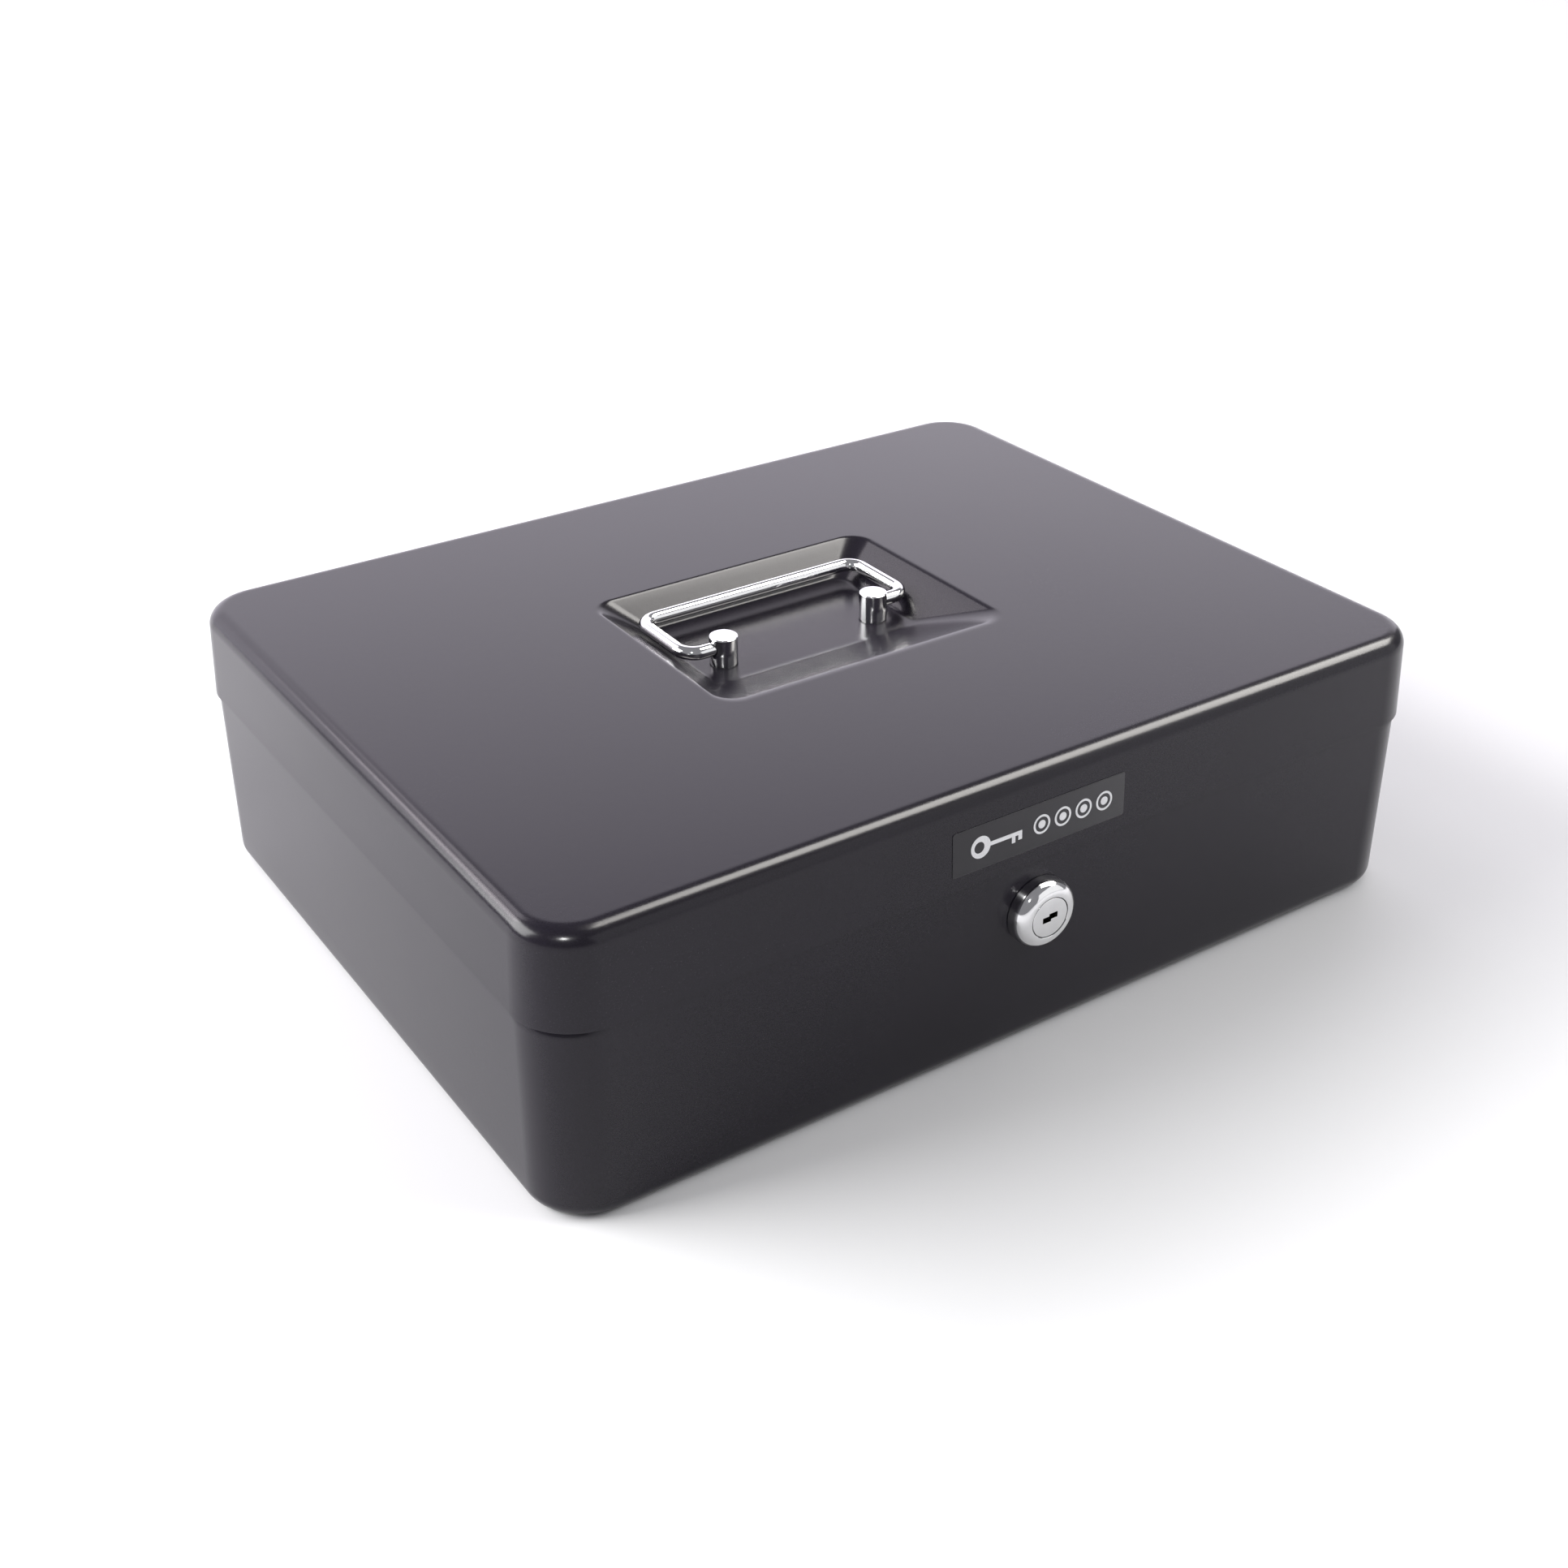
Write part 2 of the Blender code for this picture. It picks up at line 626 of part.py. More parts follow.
def bail_route():
    """Middle line of the bail, about its pivot: end, arm, grip, arm, end."""
    half = BAIL_WIDTH / 2
    end = POST_SPACING / 2 + POST_RADIUS - SOCKET_DEPTH + GAP
    bend = BAIL_BEND
    steps = 6
    right = [(end, 0.0)]
    right += arc(half - bend, bend, bend, 270, 360, steps)
    right += arc(half - bend, BAIL_REACH - bend, bend, 0, 90, steps)
    left = [(-x, y) for x, y in reversed(right)]
    return right + left


def make_bail():
    curve = bpy.data.curves.new("bail_handle", "CURVE")
    curve.dimensions = "3D"
    curve.bevel_depth = WIRE_RADIUS
    curve.bevel_resolution = 3
    curve.use_fill_caps = True
    route = bail_route()
    spline = curve.splines.new("POLY")
    spline.points.add(len(route) - 1)
    for point, (x, y) in zip(spline.points, route):
        point.co = (x, y, 0.0, 1.0)
    mesh = curve_to_mesh("bail_handle", curve)
    pivot = add_empty("handle_pivot", (0, 0, PIVOT_HEIGHT))
    add_object("bail_handle", mesh, CHROME, parent=pivot)


# ---------------------------------------------------------------- lock

def keyway_outline():
    """Stepped slot: two level halves joined by a jog, like a warded keyway."""
    half, width, step = KEYWAY_LENGTH / 2, KEYWAY_WIDTH / 2, KEYWAY_STEP / 2
    return [
        (-half, -step - width),
        (step, -step - width),
        (step, step - width),
        (half, step - width),
        (half, step + width),
        (-step, step + width),
        (-step, -step + width),
        (-half, -step + width),
    ]


def make_lock_housing(axis):
    """Domed bezel and barrel in one turned piece, bored for the plug."""
    bore = PLUG_RADIUS + GAP
    dome = []
    run = BEZEL_RADIUS - bore - BEZEL_FACE
    rise = BEZEL_HEIGHT - BEZEL_SIDE
    for x, y in arc(0, 0, 1.0, 90, 0, 6):
        dome.append((bore + BEZEL_FACE + run * x, BEZEL_SIDE + rise * y))
    profile = dome + [
        (BEZEL_RADIUS, GAP),
        (BARREL_RADIUS, GAP),
        (BARREL_RADIUS, -BARREL_LENGTH),
        (bore, -BARREL_LENGTH),
        (bore, BEZEL_HEIGHT),
    ]
    turned("lock_housing", profile, CHROME, 32, closed=True, parent=axis)


def make_lock_fixings(axis):
    """Washer and nut that clamp the barrel to the inside of the tub's wall."""
    hole = BARREL_RADIUS + GAP
    washer_top = -SHEET - GAP
    washer_low = washer_top - WASHER_THICKNESS
    profile = [
        (hole + LOCK_WASHER_RING, washer_top),
        (hole + LOCK_WASHER_RING, washer_low),
        (hole, washer_low),
        (hole, washer_top),
    ]
    turned("lock_washer", profile, ZINC, 32, closed=True, parent=axis)
    hexagon = circle(0, 0, NUT_CORNER, 6)
    mesh = plate_mesh("lock_nut", [hexagon, circle(0, 0, hole)], NUT_THICKNESS)
    height = washer_low - GAP - NUT_THICKNESS / 2
    add_object("lock_nut", mesh, ZINC, (0, 0, height), parent=axis)


def wafer_height(index):
    """Height of a wafer's middle in the lock's frame, where 0 is the tub's face."""
    return -WAFER_START - index * WAFER_PITCH


def make_plug(axis):
    """Turned plug with a keyway, wafer slots, a flatted tail and a screw hole."""
    top = BEZEL_HEIGHT - PLUG_SINK
    shoulder = -BARREL_LENGTH + GAP
    tail_end = -BARREL_LENGTH - GAP - CAM_THICKNESS
    hole = CAM_SCREW_RADIUS + GAP
    hole_end = -BARREL_LENGTH + CAM_SCREW_LENGTH + 2 * GAP
    profile = [
        (0.0, top),
        (PLUG_RADIUS, top),
        (PLUG_RADIUS, shoulder),
        (TAIL_RADIUS, shoulder),
        (TAIL_RADIUS, tail_end),
        (hole, tail_end),
        (hole, hole_end),
        (0.0, hole_end),
    ]
    plug = turned("lock_plug", profile, CHROME, 40, parent=axis)
    keyway = plate_mesh("cut_keyway", [keyway_outline()], KEYWAY_DEPTH)
    depth = top - KEYWAY_DEPTH / 2 + GAP
    cut(plug, "cut_keyway", keyway, (0, LOCK_Y - depth, LOCK_HEIGHT), ALONG_Y)
    flat = box_mesh(
        "cut_tail_flat",
        (TAIL_FLAT, -BARREL_RADIUS, -TAIL_RADIUS),
        (TAIL_FLAT + 2 * TAIL_RADIUS, BARREL_RADIUS, shoulder - tail_end),
    )
    for name, turn in (("cut_flat_right", 0), ("cut_flat_left", 180)):
        place = (0, LOCK_Y - tail_end, LOCK_HEIGHT)
        cut(plug, name, flat, place, (math.radians(90), math.radians(turn), 0))
    slot = box_mesh(
        "cut_wafer_slot",
        (-2 * PLUG_RADIUS, -WAFER_HALF_WIDTH - GAP, -WAFER_THICKNESS / 2 - GAP),
        (2 * PLUG_RADIUS, WAFER_HALF_WIDTH + GAP, WAFER_THICKNESS / 2 + GAP),
    )
    for index in range(WAFER_COUNT):
        place = (0, LOCK_Y - wafer_height(index), LOCK_HEIGHT)
        cut(plug, "cut_wafer_slot_%d" % (index + 1), slot, place, ALONG_Y)


def make_wafers(axis):
    """Sprung brass wafers, each windowed for the key, in the plug's slots."""
    outline = rounded_rectangle(
        -WAFER_HALF_LENGTH,
        WAFER_HALF_LENGTH,
        -WAFER_HALF_WIDTH,
        WAFER_HALF_WIDTH,
        WAFER_CORNER,
        2,
    )
    half = KEYWAY_LENGTH / 2 + GAP
    width = KEYWAY_WIDTH / 2 + KEYWAY_STEP / 2 + GAP
    window = [(-half, -width), (half, -width), (half, width), (-half, width)]
    for index in range(WAFER_COUNT):
        name = "lock_wafer_%d" % (index + 1)
        mesh = plate_mesh(name, [outline, window], WAFER_THICKNESS)
        add_object(name, mesh, BRASS, (0, 0, wafer_height(index)), parent=axis)


def make_cam(axis):
    """Cam on the plug's flatted tail, with the washer and screw that hold it."""
    top = -BARREL_LENGTH - GAP
    hub = CAM_HALF_WIDTH
    tip = CAM_CORNER
    outline = arc(0, 0, hub, 180, 360, 12)
    outline += arc(hub - tip, CAM_LENGTH - tip, tip, 0, 90, 4)
    outline += arc(tip - hub, CAM_LENGTH - tip, tip, 90, 180, 4)
    reach = TAIL_RADIUS + GAP
    flat = TAIL_FLAT + GAP
    turn = math.degrees(math.acos(flat / reach))
    eye = arc(0, 0, reach, turn, 180 - turn, 6) + arc(0, 0, reach, 180 + turn, 360 - turn, 6)
    mesh = plate_mesh("lock_cam", [outline, eye], CAM_THICKNESS)
    add_object("lock_cam", mesh, ZINC, (0, 0, top - CAM_THICKNESS / 2), parent=axis)
    washer_top = top - CAM_THICKNESS - GAP
    washer_low = washer_top - WASHER_THICKNESS
    hole = CAM_SCREW_RADIUS + GAP
    washer_profile = [
        (CAM_WASHER_RADIUS, washer_top),
        (CAM_WASHER_RADIUS, washer_low),
        (hole, washer_low),
        (hole, washer_top),
    ]
    turned("cam_washer", washer_profile, ZINC, 24, closed=True, parent=axis)
    head_top = washer_low - GAP
    shank_end = -BARREL_LENGTH + CAM_SCREW_LENGTH
    head_low = head_top - CAM_HEAD_HEIGHT
    screw_profile = [
        (0.0, shank_end),
        (CAM_SCREW_RADIUS, shank_end),
        (CAM_SCREW_RADIUS, head_top),
        (CAM_SCREW_HEAD, head_top),
        (CAM_SCREW_HEAD, head_top - CAM_HEAD_HEIGHT * 0.55),
        (CAM_SCREW_HEAD * 0.6, head_low),
        (0.0, head_low),
    ]
    screw = turned("cam_screw", screw_profile, ZINC, 20, parent=axis)
    slot = box_mesh(
        "cut_cam_slot",
        (-2 * CAM_SCREW_HEAD, -SLOT_HALF_WIDTH, -SLOT_DEPTH),
        (2 * CAM_SCREW_HEAD, SLOT_HALF_WIDTH, SLOT_DEPTH),
    )
    cut(screw, "cut_cam_slot", slot, (0, LOCK_Y - head_low, LOCK_HEIGHT), ALONG_Y)


def make_lock():
    place = (0, LOCK_Y, LOCK_HEIGHT)
    fixed = add_empty("lock_seat", place, ALONG_Y)
    turning = add_empty("lock_axis", place, ALONG_Y)
    make_lock_housing(fixed)
    make_lock_fixings(fixed)
    make_plug(turning)
    make_wafers(turning)
    make_cam(turning)


# ---------------------------------------------------------------- hinges

def lid_leaf_outlines():
    """Side view of the lid's leaf about the pin: a knuckle with the leaf above."""
    radius, thick = KNUCKLE_RADIUS, LEAF_THICKNESS
    lean = skirt_inset(HINGE_Z + LEAF_HEIGHT)
    meet = math.degrees(math.acos((thick - radius) / radius))
    outline = arc(0, 0, radius, -180, meet, 14)
    outline += [(thick - radius - lean, LEAF_HEIGHT), (-radius - lean, LEAF_HEIGHT)]
    return [outline, circle(0, 0, PIN_RADIUS + GAP, 16)]


def tub_leaf_outlines():
    """Side view of the tub's leaf: a knuckle, a joggle and the leaf below."""
    radius, thick = KNUCKLE_RADIUS, LEAF_THICKNESS
    wall = TUB_HALF_Y + tub_flare(HINGE_Z - LEAF_HEIGHT) + GAP - HINGE_Y
    shoulder = -radius - thick
    outline = arc(0, 0, radius, 180, -125, 14)
    outline += [
        (wall + thick, shoulder - KNUCKLE_GAP),
        (wall + thick, -LEAF_HEIGHT),
        (wall, -LEAF_HEIGHT),
        (wall, shoulder),
        (-radius, -thick),
    ]
    return [outline, circle(0, 0, PIN_RADIUS + GAP, 16)]


def rivet_profile(grip, inner_gap):
    """A set rivet about Z: outside head, shank through the grip, inside head."""
    head = RIVET_HEAD_HEIGHT
    profile = []
    for x, y in arc(0, 0, 1.0, 90, 0, 3):
        profile.append((RIVET_HEAD_RADIUS * x, GAP + head * y))
    profile.append((RIVET_RADIUS, GAP))
    profile.append((RIVET_RADIUS, -grip - inner_gap))
    profile.append((RIVET_HEAD_RADIUS * 0.85, -grip - inner_gap))
    profile.append((RIVET_HEAD_RADIUS * 0.7, -grip - inner_gap - head))
    profile.append((0.0, -grip - inner_gap - head))
    return profile


def make_hinge(side, x, lid, tub):
    """One butt hinge: two leaves, a pin and four rivets."""
    on_axis = (math.radians(90), 0, math.radians(90))
    centre = (x, HINGE_Y, HINGE_Z)
    room = LEAF_HEIGHT
    clear = KNUCKLE_RADIUS + 1.5 * GAP
    half = HINGE_LENGTH / 2
    middle = CENTRE_KNUCKLE / 2 + KNUCKLE_GAP

    mesh = plate_mesh("hinge_leaf_lid", lid_leaf_outlines(), HINGE_LENGTH)
    lid_leaf = add_object("hinge_leaf_lid_" + side, mesh, BLACK_PAINT, centre, on_axis)
    notch = box_mesh("cut_lid_knuckle", (-middle, -room, -room), (middle, room, clear))
    cut(lid_leaf, "cut_lid_knuckle_" + side, notch, centre)

    mesh = plate_mesh("hinge_leaf_tub", tub_leaf_outlines(), HINGE_LENGTH)
    tub_leaf = add_object("hinge_leaf_tub_" + side, mesh, BLACK_PAINT, centre, on_axis)
    inner = CENTRE_KNUCKLE / 2
    for end, sign in (("a", -1), ("b", 1)):
        low, high = sorted((sign * inner, sign * (half + room)))
        notch = box_mesh("cut_tub_knuckle", (low, -room, -clear), (high, room, room))
        cut(tub_leaf, "cut_tub_knuckle_%s_%s" % (side, end), notch, centre)

    head = PIN_HEAD_HEIGHT
    end = half + GAP
    pin_profile = [(0.0, end + head), (PIN_HEAD_RADIUS * 0.7, end + head)]
    pin_profile += [(PIN_HEAD_RADIUS, end + head * 0.6), (PIN_HEAD_RADIUS, end)]
    pin_profile += [(PIN_RADIUS, end), (PIN_RADIUS, -end), (PIN_HEAD_RADIUS, -end)]
    pin_profile += [(PIN_HEAD_RADIUS, -end - head * 0.6), (PIN_HEAD_RADIUS * 0.7, -end - head)]
    pin_profile += [(0.0, -end - head)]
    turned("hinge_pin_" + side, pin_profile, ZINC, 16, location=centre, rotation=ALONG_X)

    out = (math.radians(-90), 0, 0)
    rows = (
        ("lid", RIVET_OFFSET, BOX_DEPTH / 2 - skirt_inset(HINGE_Z + RIVET_OFFSET), lid, lid_leaf),
        ("tub", -RIVET_OFFSET, TUB_HALF_Y + tub_flare(HINGE_Z - LEAF_HEIGHT), tub, tub_leaf),
    )
    grip = LEAF_THICKNESS + GAP + SHEET
    for row, offset, wall, shell, leaf in rows:
        profile = rivet_profile(grip, GAP)
        seat = wall + GAP + LEAF_THICKNESS
        for end, shift in (("a", -RIVET_SPREAD / 2), ("b", RIVET_SPREAD / 2)):
            place = (x + shift, seat, HINGE_Z + offset)
            name = "hinge_rivet_%s_%s_%s" % (row, side, end)
            turned(name, profile, ZINC, 12, location=place, rotation=out)
            hole = cylinder_mesh("cut_rivet", RIVET_RADIUS + GAP, 4 * grip, 16)
            tool = as_tool("cut_%s" % name, hole, place, ALONG_Y)
            add_boolean(shell, tool, "DIFFERENCE")
            add_boolean(leaf, tool, "DIFFERENCE")


# ---------------------------------------------------------------- coin tray

def tray_outline(half_x, half_y, corner, side_room):
    """Plan of the tray: rounded corners and a notch at the front for the lock."""
    notch = NOTCH_HALF_WIDTH + side_room
    back = NOTCH_DEPTH + side_room - TRAY_HALF_Y
    bend = NOTCH_BEND
    points = arc(half_x - corner, half_y - corner, corner, 0, 90, 5)
    points += arc(corner - half_x, half_y - corner, corner, 90, 180, 5)
    points += arc(corner - half_x, corner - half_y, corner, 180, 270, 5)
    points += [(-notch, -half_y)]
    points += arc(bend - notch, back - bend, bend, 180, 90, 4)
    points += arc(notch - bend, back - bend, bend, 90, 0, 4)
    points += [(notch, -half_y)]
    points += arc(half_x - corner, corner - half_y, corner, 270, 360, 5)
    return points


def tray_pockets():
    """Coin cups along the front and bins along the rear, as (name, left, right,
    front, rear, radius) in plan."""
    wall = TRAY_WALL
    left = TRAY_LIP + wall - TRAY_HALF_X
    front = TRAY_END_LIP + wall - TRAY_HALF_Y
    rear = -front
    row_rear = front + CUP_ROW_DEPTH
    notch_side = NOTCH_HALF_WIDTH + 2 * wall
    notch_back = NOTCH_DEPTH + 2 * wall - TRAY_HALF_Y
    cup_width = (-left - notch_side - wall) / 2
    pockets = []
    for number, start in enumerate((left, left + cup_width + wall)):
        end = start + cup_width
        pockets.append(("cup_left_%d" % number, start, end, front, row_rear, CUP_RADIUS))
        pockets.append(("cup_right_%d" % number, -end, -start, front, row_rear, CUP_RADIUS))
    centre = notch_side - wall
    pockets.append(("cup_centre", -centre, centre, notch_back, row_rear, CUP_RADIUS))
    bin_width = (-2 * left - (BIN_COUNT - 1) * wall) / BIN_COUNT
    for number in range(BIN_COUNT):
        start = left + number * (bin_width + wall)
        pockets.append(
            ("bin_%d" % number, start, start + bin_width, row_rear + wall, rear, BIN_RADIUS)
        )
    return pockets


def make_tray():
    """Moulded tray: a flange that sits on the ledges, cups and bins below it."""
    flange_low = LEDGE_TOP + GAP
    top = flange_low + TRAY_FLANGE
    bottom = flange_low - TRAY_DEPTH
    body_outline = tray_outline(
        TRAY_HALF_X - TRAY_LIP, TRAY_HALF_Y - TRAY_END_LIP, BIN_RADIUS + TRAY_WALL, TRAY_WALL
    )
    flange_outline = tray_outline(TRAY_HALF_X, TRAY_HALF_Y, TRAY_CORNER, 0.0)
    height = flange_low + TRAY_FLANGE / 2 - bottom
    body = plate_mesh("coin_tray", [body_outline], height)
    lift = add_empty("tray_lift_path", (0, 0, LEDGE_TOP))
    tray = add_object(
        "coin_tray", body, TRAY_PLASTIC, (0, 0, bottom + height / 2 - LEDGE_TOP), parent=lift
    )
    flange = plate_mesh("join_tray_flange", [flange_outline], TRAY_FLANGE)
    add_boolean(
        tray,
        as_tool("join_tray_flange", flange, (0, 0, flange_low + TRAY_FLANGE / 2)),
        "UNION",
    )
    floor = bottom + TRAY_WALL
    for name, left, right, front, rear, radius in tray_pockets():
        above = top + 2 * radius
        mesh = box_mesh("cut_" + name, (left, front, floor), (right, rear, above), radius, "cup", 4)
        cut(tray, "cut_" + name, mesh)


tub_shell = make_tub()
make_ledges()
lid_shell = make_lid()
make_label()
make_catch()
make_posts()
make_bail()
make_lock()
make_hinge("left", -HINGE_X, lid_shell, tub_shell)
make_hinge("right", HINGE_X, lid_shell, tub_shell)
make_tray()
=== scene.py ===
"""Looks of the steel cash box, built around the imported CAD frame.

Every visible piece is made here at a finer resolution than its CAD node, with the
same places and sizes, and rides on the CAD body of that node. Metres throughout;
+X right, -Y front, +Z up.
"""

import json
import math

import bmesh
import bpy
from mathutils import Matrix, Vector


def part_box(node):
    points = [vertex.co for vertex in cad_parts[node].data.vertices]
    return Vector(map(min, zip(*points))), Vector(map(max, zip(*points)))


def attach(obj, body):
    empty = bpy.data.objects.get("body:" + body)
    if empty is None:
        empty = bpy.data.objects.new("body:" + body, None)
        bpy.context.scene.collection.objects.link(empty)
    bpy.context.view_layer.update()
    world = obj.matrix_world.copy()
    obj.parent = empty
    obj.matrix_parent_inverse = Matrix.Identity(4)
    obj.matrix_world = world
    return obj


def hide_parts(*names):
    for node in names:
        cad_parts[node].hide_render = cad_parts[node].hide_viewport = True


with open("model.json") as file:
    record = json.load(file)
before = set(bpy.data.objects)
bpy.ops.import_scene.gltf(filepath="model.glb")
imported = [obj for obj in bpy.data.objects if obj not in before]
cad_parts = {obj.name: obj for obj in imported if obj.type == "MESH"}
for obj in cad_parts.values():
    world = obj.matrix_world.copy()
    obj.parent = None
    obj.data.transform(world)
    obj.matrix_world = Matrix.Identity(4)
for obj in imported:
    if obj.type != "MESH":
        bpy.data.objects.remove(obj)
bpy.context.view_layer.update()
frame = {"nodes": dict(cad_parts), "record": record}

MM = 0.001
SCENE = bpy.context.scene

# Sizes read from the frame
lid_low, lid_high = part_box("lid_shell")
tub_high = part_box("base_tub")[1]
HALF_X = (lid_high.x - lid_low.x) / 2
HALF_Y = (lid_high.y - lid_low.y) / 2
SEAM = lid_low.z
TOP = lid_high.z
RIM_TOP = tub_high.z

# Sheet metal
SHEET = 0.7 * MM
CORNER_RADIUS = 18.3 * MM
CORNER_STEPS = 22
LID_DRAFT = 1.2 * MM
LID_EDGE = 5.3 * MM
TUB_INSET = 1.0 * MM
TUB_FOOT = 5.0 * MM
TUB_FLARE = 0.4 * MM
JOGGLE = 0.6 * MM
JOGGLE_HEIGHT = 1.6 * MM
HEM_RADIUS = 1.0 * MM
HEM_DROP = 4.0 * MM
NECK_GAP = 0.3 * MM
SUPPORT = 0.7 * MM
SHOULDER_EASE = 2.4 * MM        # the tub's corners draw in just below the seam
SHOULDER_HEIGHT = 2.8 * MM
POST_SCREW_HOLE = 1.9 * MM      # radius of the holes in the recess's floor
BARREL_HOLE = 7.9 * MM          # radius of the lock's hole in the tub's front

# Handle recess
RECESS_DEPTH = 9.1 * MM
RIM_PLAN = (52.0 * MM, -39.5 * MM, 41.5 * MM, 8.0 * MM)      # half width, front, rear, corner
FLOOR_PLAN = (36.5 * MM, -10.0 * MM, 31.0 * MM, 4.0 * MM)
RECESS_EASE = 0.12

# Fasteners
SLOT_HALF = 0.4 * MM            # half width of a screw's slot
SLOT_DEPTH = 0.9 * MM
SLOT_REACH = 6.0 * MM
WASHER_EDGE = 0.15 * MM

# A plate drawn in (y, z) and as thick as its run along x
SIDE_VIEW = Matrix(((0, 0, 1, 0), (1, 0, 0, 0), (0, 1, 0, 0), (0, 0, 0, 1)))


# ---------------------------------------------------------------- geometry tools

def arc(cx, cy, radius, start, end, steps):
    """Points on an arc from start to end degrees, both ends included."""
    points = []
    for i in range(steps + 1):
        angle = math.radians(start + (end - start) * i / steps)
        points.append((cx + radius * math.cos(angle), cy + radius * math.sin(angle)))
    return points


def circle(cx, cy, radius, steps):
    return arc(cx, cy, radius, 0, 360, steps)[:-1]


def rounded_rectangle(left, right, front, rear, radius, steps=CORNER_STEPS):
    points = arc(right - radius, rear - radius, radius, 0, 90, steps)
    points += arc(left + radius, rear - radius, radius, 90, 180, steps)
    points += arc(left + radius, front + radius, radius, 180, 270, steps)
    points += arc(right - radius, front + radius, radius, 270, 360, steps)
    return points


def fillet(points, radii, closed=False, steps=4):
    """A polyline with its corners rounded; radii is one number or one per point."""
    count = len(points)
    if not hasattr(radii, "__len__"):
        radii = [radii] * count
    out = []
    for i, point in enumerate(points):
        here = Vector(point)
        if radii[i] <= 0 or (not closed and i in (0, count - 1)):
            out.append(tuple(here))
            continue
        back = Vector(points[i - 1]) - here
        ahead = Vector(points[(i + 1) % count]) - here
        bend = back.angle(ahead)
        if bend > math.pi - 0.02:
            out.append(tuple(here))
            continue
        reach = radii[i] / math.tan(bend / 2)
        reach = min(reach, back.length * 0.49, ahead.length * 0.49)
        start = here + back.normalized() * reach
        end = here + ahead.normalized() * reach
        for k in range(steps + 1):
            t = k / steps
            out.append(tuple(start * (1 - t) ** 2 + here * 2 * t * (1 - t) + end * t * t))
    return out


def shade(mesh, angle):
    """Smooth faces, sharp where they bend by more than the angle in degrees."""
    mesh.shade_smooth()
    mesh.set_sharp_from_angle(angle=math.radians(angle))


def finished(name, work, angle):
    """The mesh of some bmesh work, its faces turned as they are."""
    mesh = bpy.data.meshes.new(name)
    work.to_mesh(mesh)
    work.free()
    shade(mesh, angle)
    return mesh


def to_mesh(name, work, angle=40.0):
    """The mesh of some closed bmesh work, its faces turned outward."""
    bmesh.ops.recalc_face_normals(work, faces=work.faces)
    return finished(name, work, angle)


def ring_of(work, radii, height):
    """Vertices round Z at one height, one for each radius."""
    ring = []
    for i, radius in enumerate(radii):
        turn = 2 * math.pi * i / len(radii)
        ring.append(work.verts.new((radius * math.cos(turn), radius * math.sin(turn), height)))
    return ring


def skin(work, rings):
    """Quads from each ring of vertices to the next."""
    for low, high in zip(rings, rings[1:]):
        for i in range(len(low)):
            j = (i + 1) % len(low)
            work.faces.new((low[i], low[j], high[j], high[i]))


def revolve(name, profile, steps, closed=False, matrix=None):
    """Turn (radius, height) points about Z; a radius of 0 becomes a pole."""
    work = bmesh.new()
    rings = []
    for radius, height in profile:
        if radius < 1e-7:
            rings.append([work.verts.new((0, 0, height))])
        else:
            rings.append(ring_of(work, [radius] * steps, height))
    pairs = list(zip(rings, rings[1:]))
    if closed:
        pairs.append((rings[-1], rings[0]))
    for low, high in pairs:
        for i in range(steps):
            j = (i + 1) % steps
            if len(low) == 1 and len(high) > 1:
                work.faces.new((low[0], high[i], high[j]))
            elif len(high) == 1 and len(low) > 1:
                work.faces.new((low[i], low[j], high[0]))
            elif len(low) > 1:
                work.faces.new((low[i], low[j], high[j], high[i]))
    if matrix is not None:
        work.transform(matrix)
    return to_mesh(name, work, 35.0)


def loft(name, rings, wear):
    """A skin through rings of equal count, closed at the last; wear is each ring's polish."""
    work = bmesh.new()
    layer = work.verts.layers.float.new("wear")
    levels = []
    for ring, polish in zip(rings, wear):
        level = [work.verts.new(point) for point in ring]
        for vertex in level:
            vertex[layer] = polish
        levels.append(level)
    skin(work, levels)
    work.faces.new(levels[-1])
    return finished(name, work, 32.0)


def plate(name, outlines, thickness, edge=0.0, matrix=None):
    """A flat plate from closed outlines in XY, its edges eased; inner ones are holes."""
    curve = bpy.data.curves.new(name, "CURVE")
    curve.dimensions = "2D"
    curve.fill_mode = "BOTH"
    curve.extrude = thickness / 2 - edge
    curve.bevel_depth = edge
    curve.bevel_resolution = 1
    curve.offset = -edge
    for outline in outlines:
        spline = curve.splines.new("POLY")
        spline.points.add(len(outline) - 1)
        for point, (x, y) in zip(spline.points, outline):
            point.co = (x, y, 0.0, 1.0)
        spline.use_cyclic_u = True
    guide = bpy.data.objects.new(name + "_guide", curve)
    SCENE.collection.objects.link(guide)
    bpy.context.view_layer.update()
    graph = bpy.context.evaluated_depsgraph_get()
    mesh = bpy.data.meshes.new_from_object(guide.evaluated_get(graph))
    bpy.data.objects.remove(guide, do_unlink=True)
    work = bmesh.new()
    work.from_mesh(mesh)
    bmesh.ops.remove_doubles(work, verts=work.verts, dist=1e-6)
    if matrix is not None:
        work.transform(matrix)
    return to_mesh(name, work, 35.0)


def box(name, low, high, edge=0.0):
    """A block between two corners, its edges eased where an edge size is given."""
    work = bmesh.new()
    bmesh.ops.create_cube(work, size=1.0)
    low, high = Vector(low), Vector(high)
    for vertex in work.verts:
        share = vertex.co + Vector((0.5, 0.5, 0.5))
        vertex.co = [low[i] + share[i] * (high[i] - low[i]) for i in range(3)]
    if edge:
        bmesh.ops.bevel(
            work, geom=list(work.edges), offset=edge, segments=2, profile=0.5, affect="EDGES"
        )
    return to_mesh(name, work, 50.0)


def join(name, meshes):
    """Several meshes as one; they stay separate closed bodies inside it."""
    work = bmesh.new()
    for mesh in meshes:
        work.from_mesh(mesh)
    return finished(name, work, 35.0)


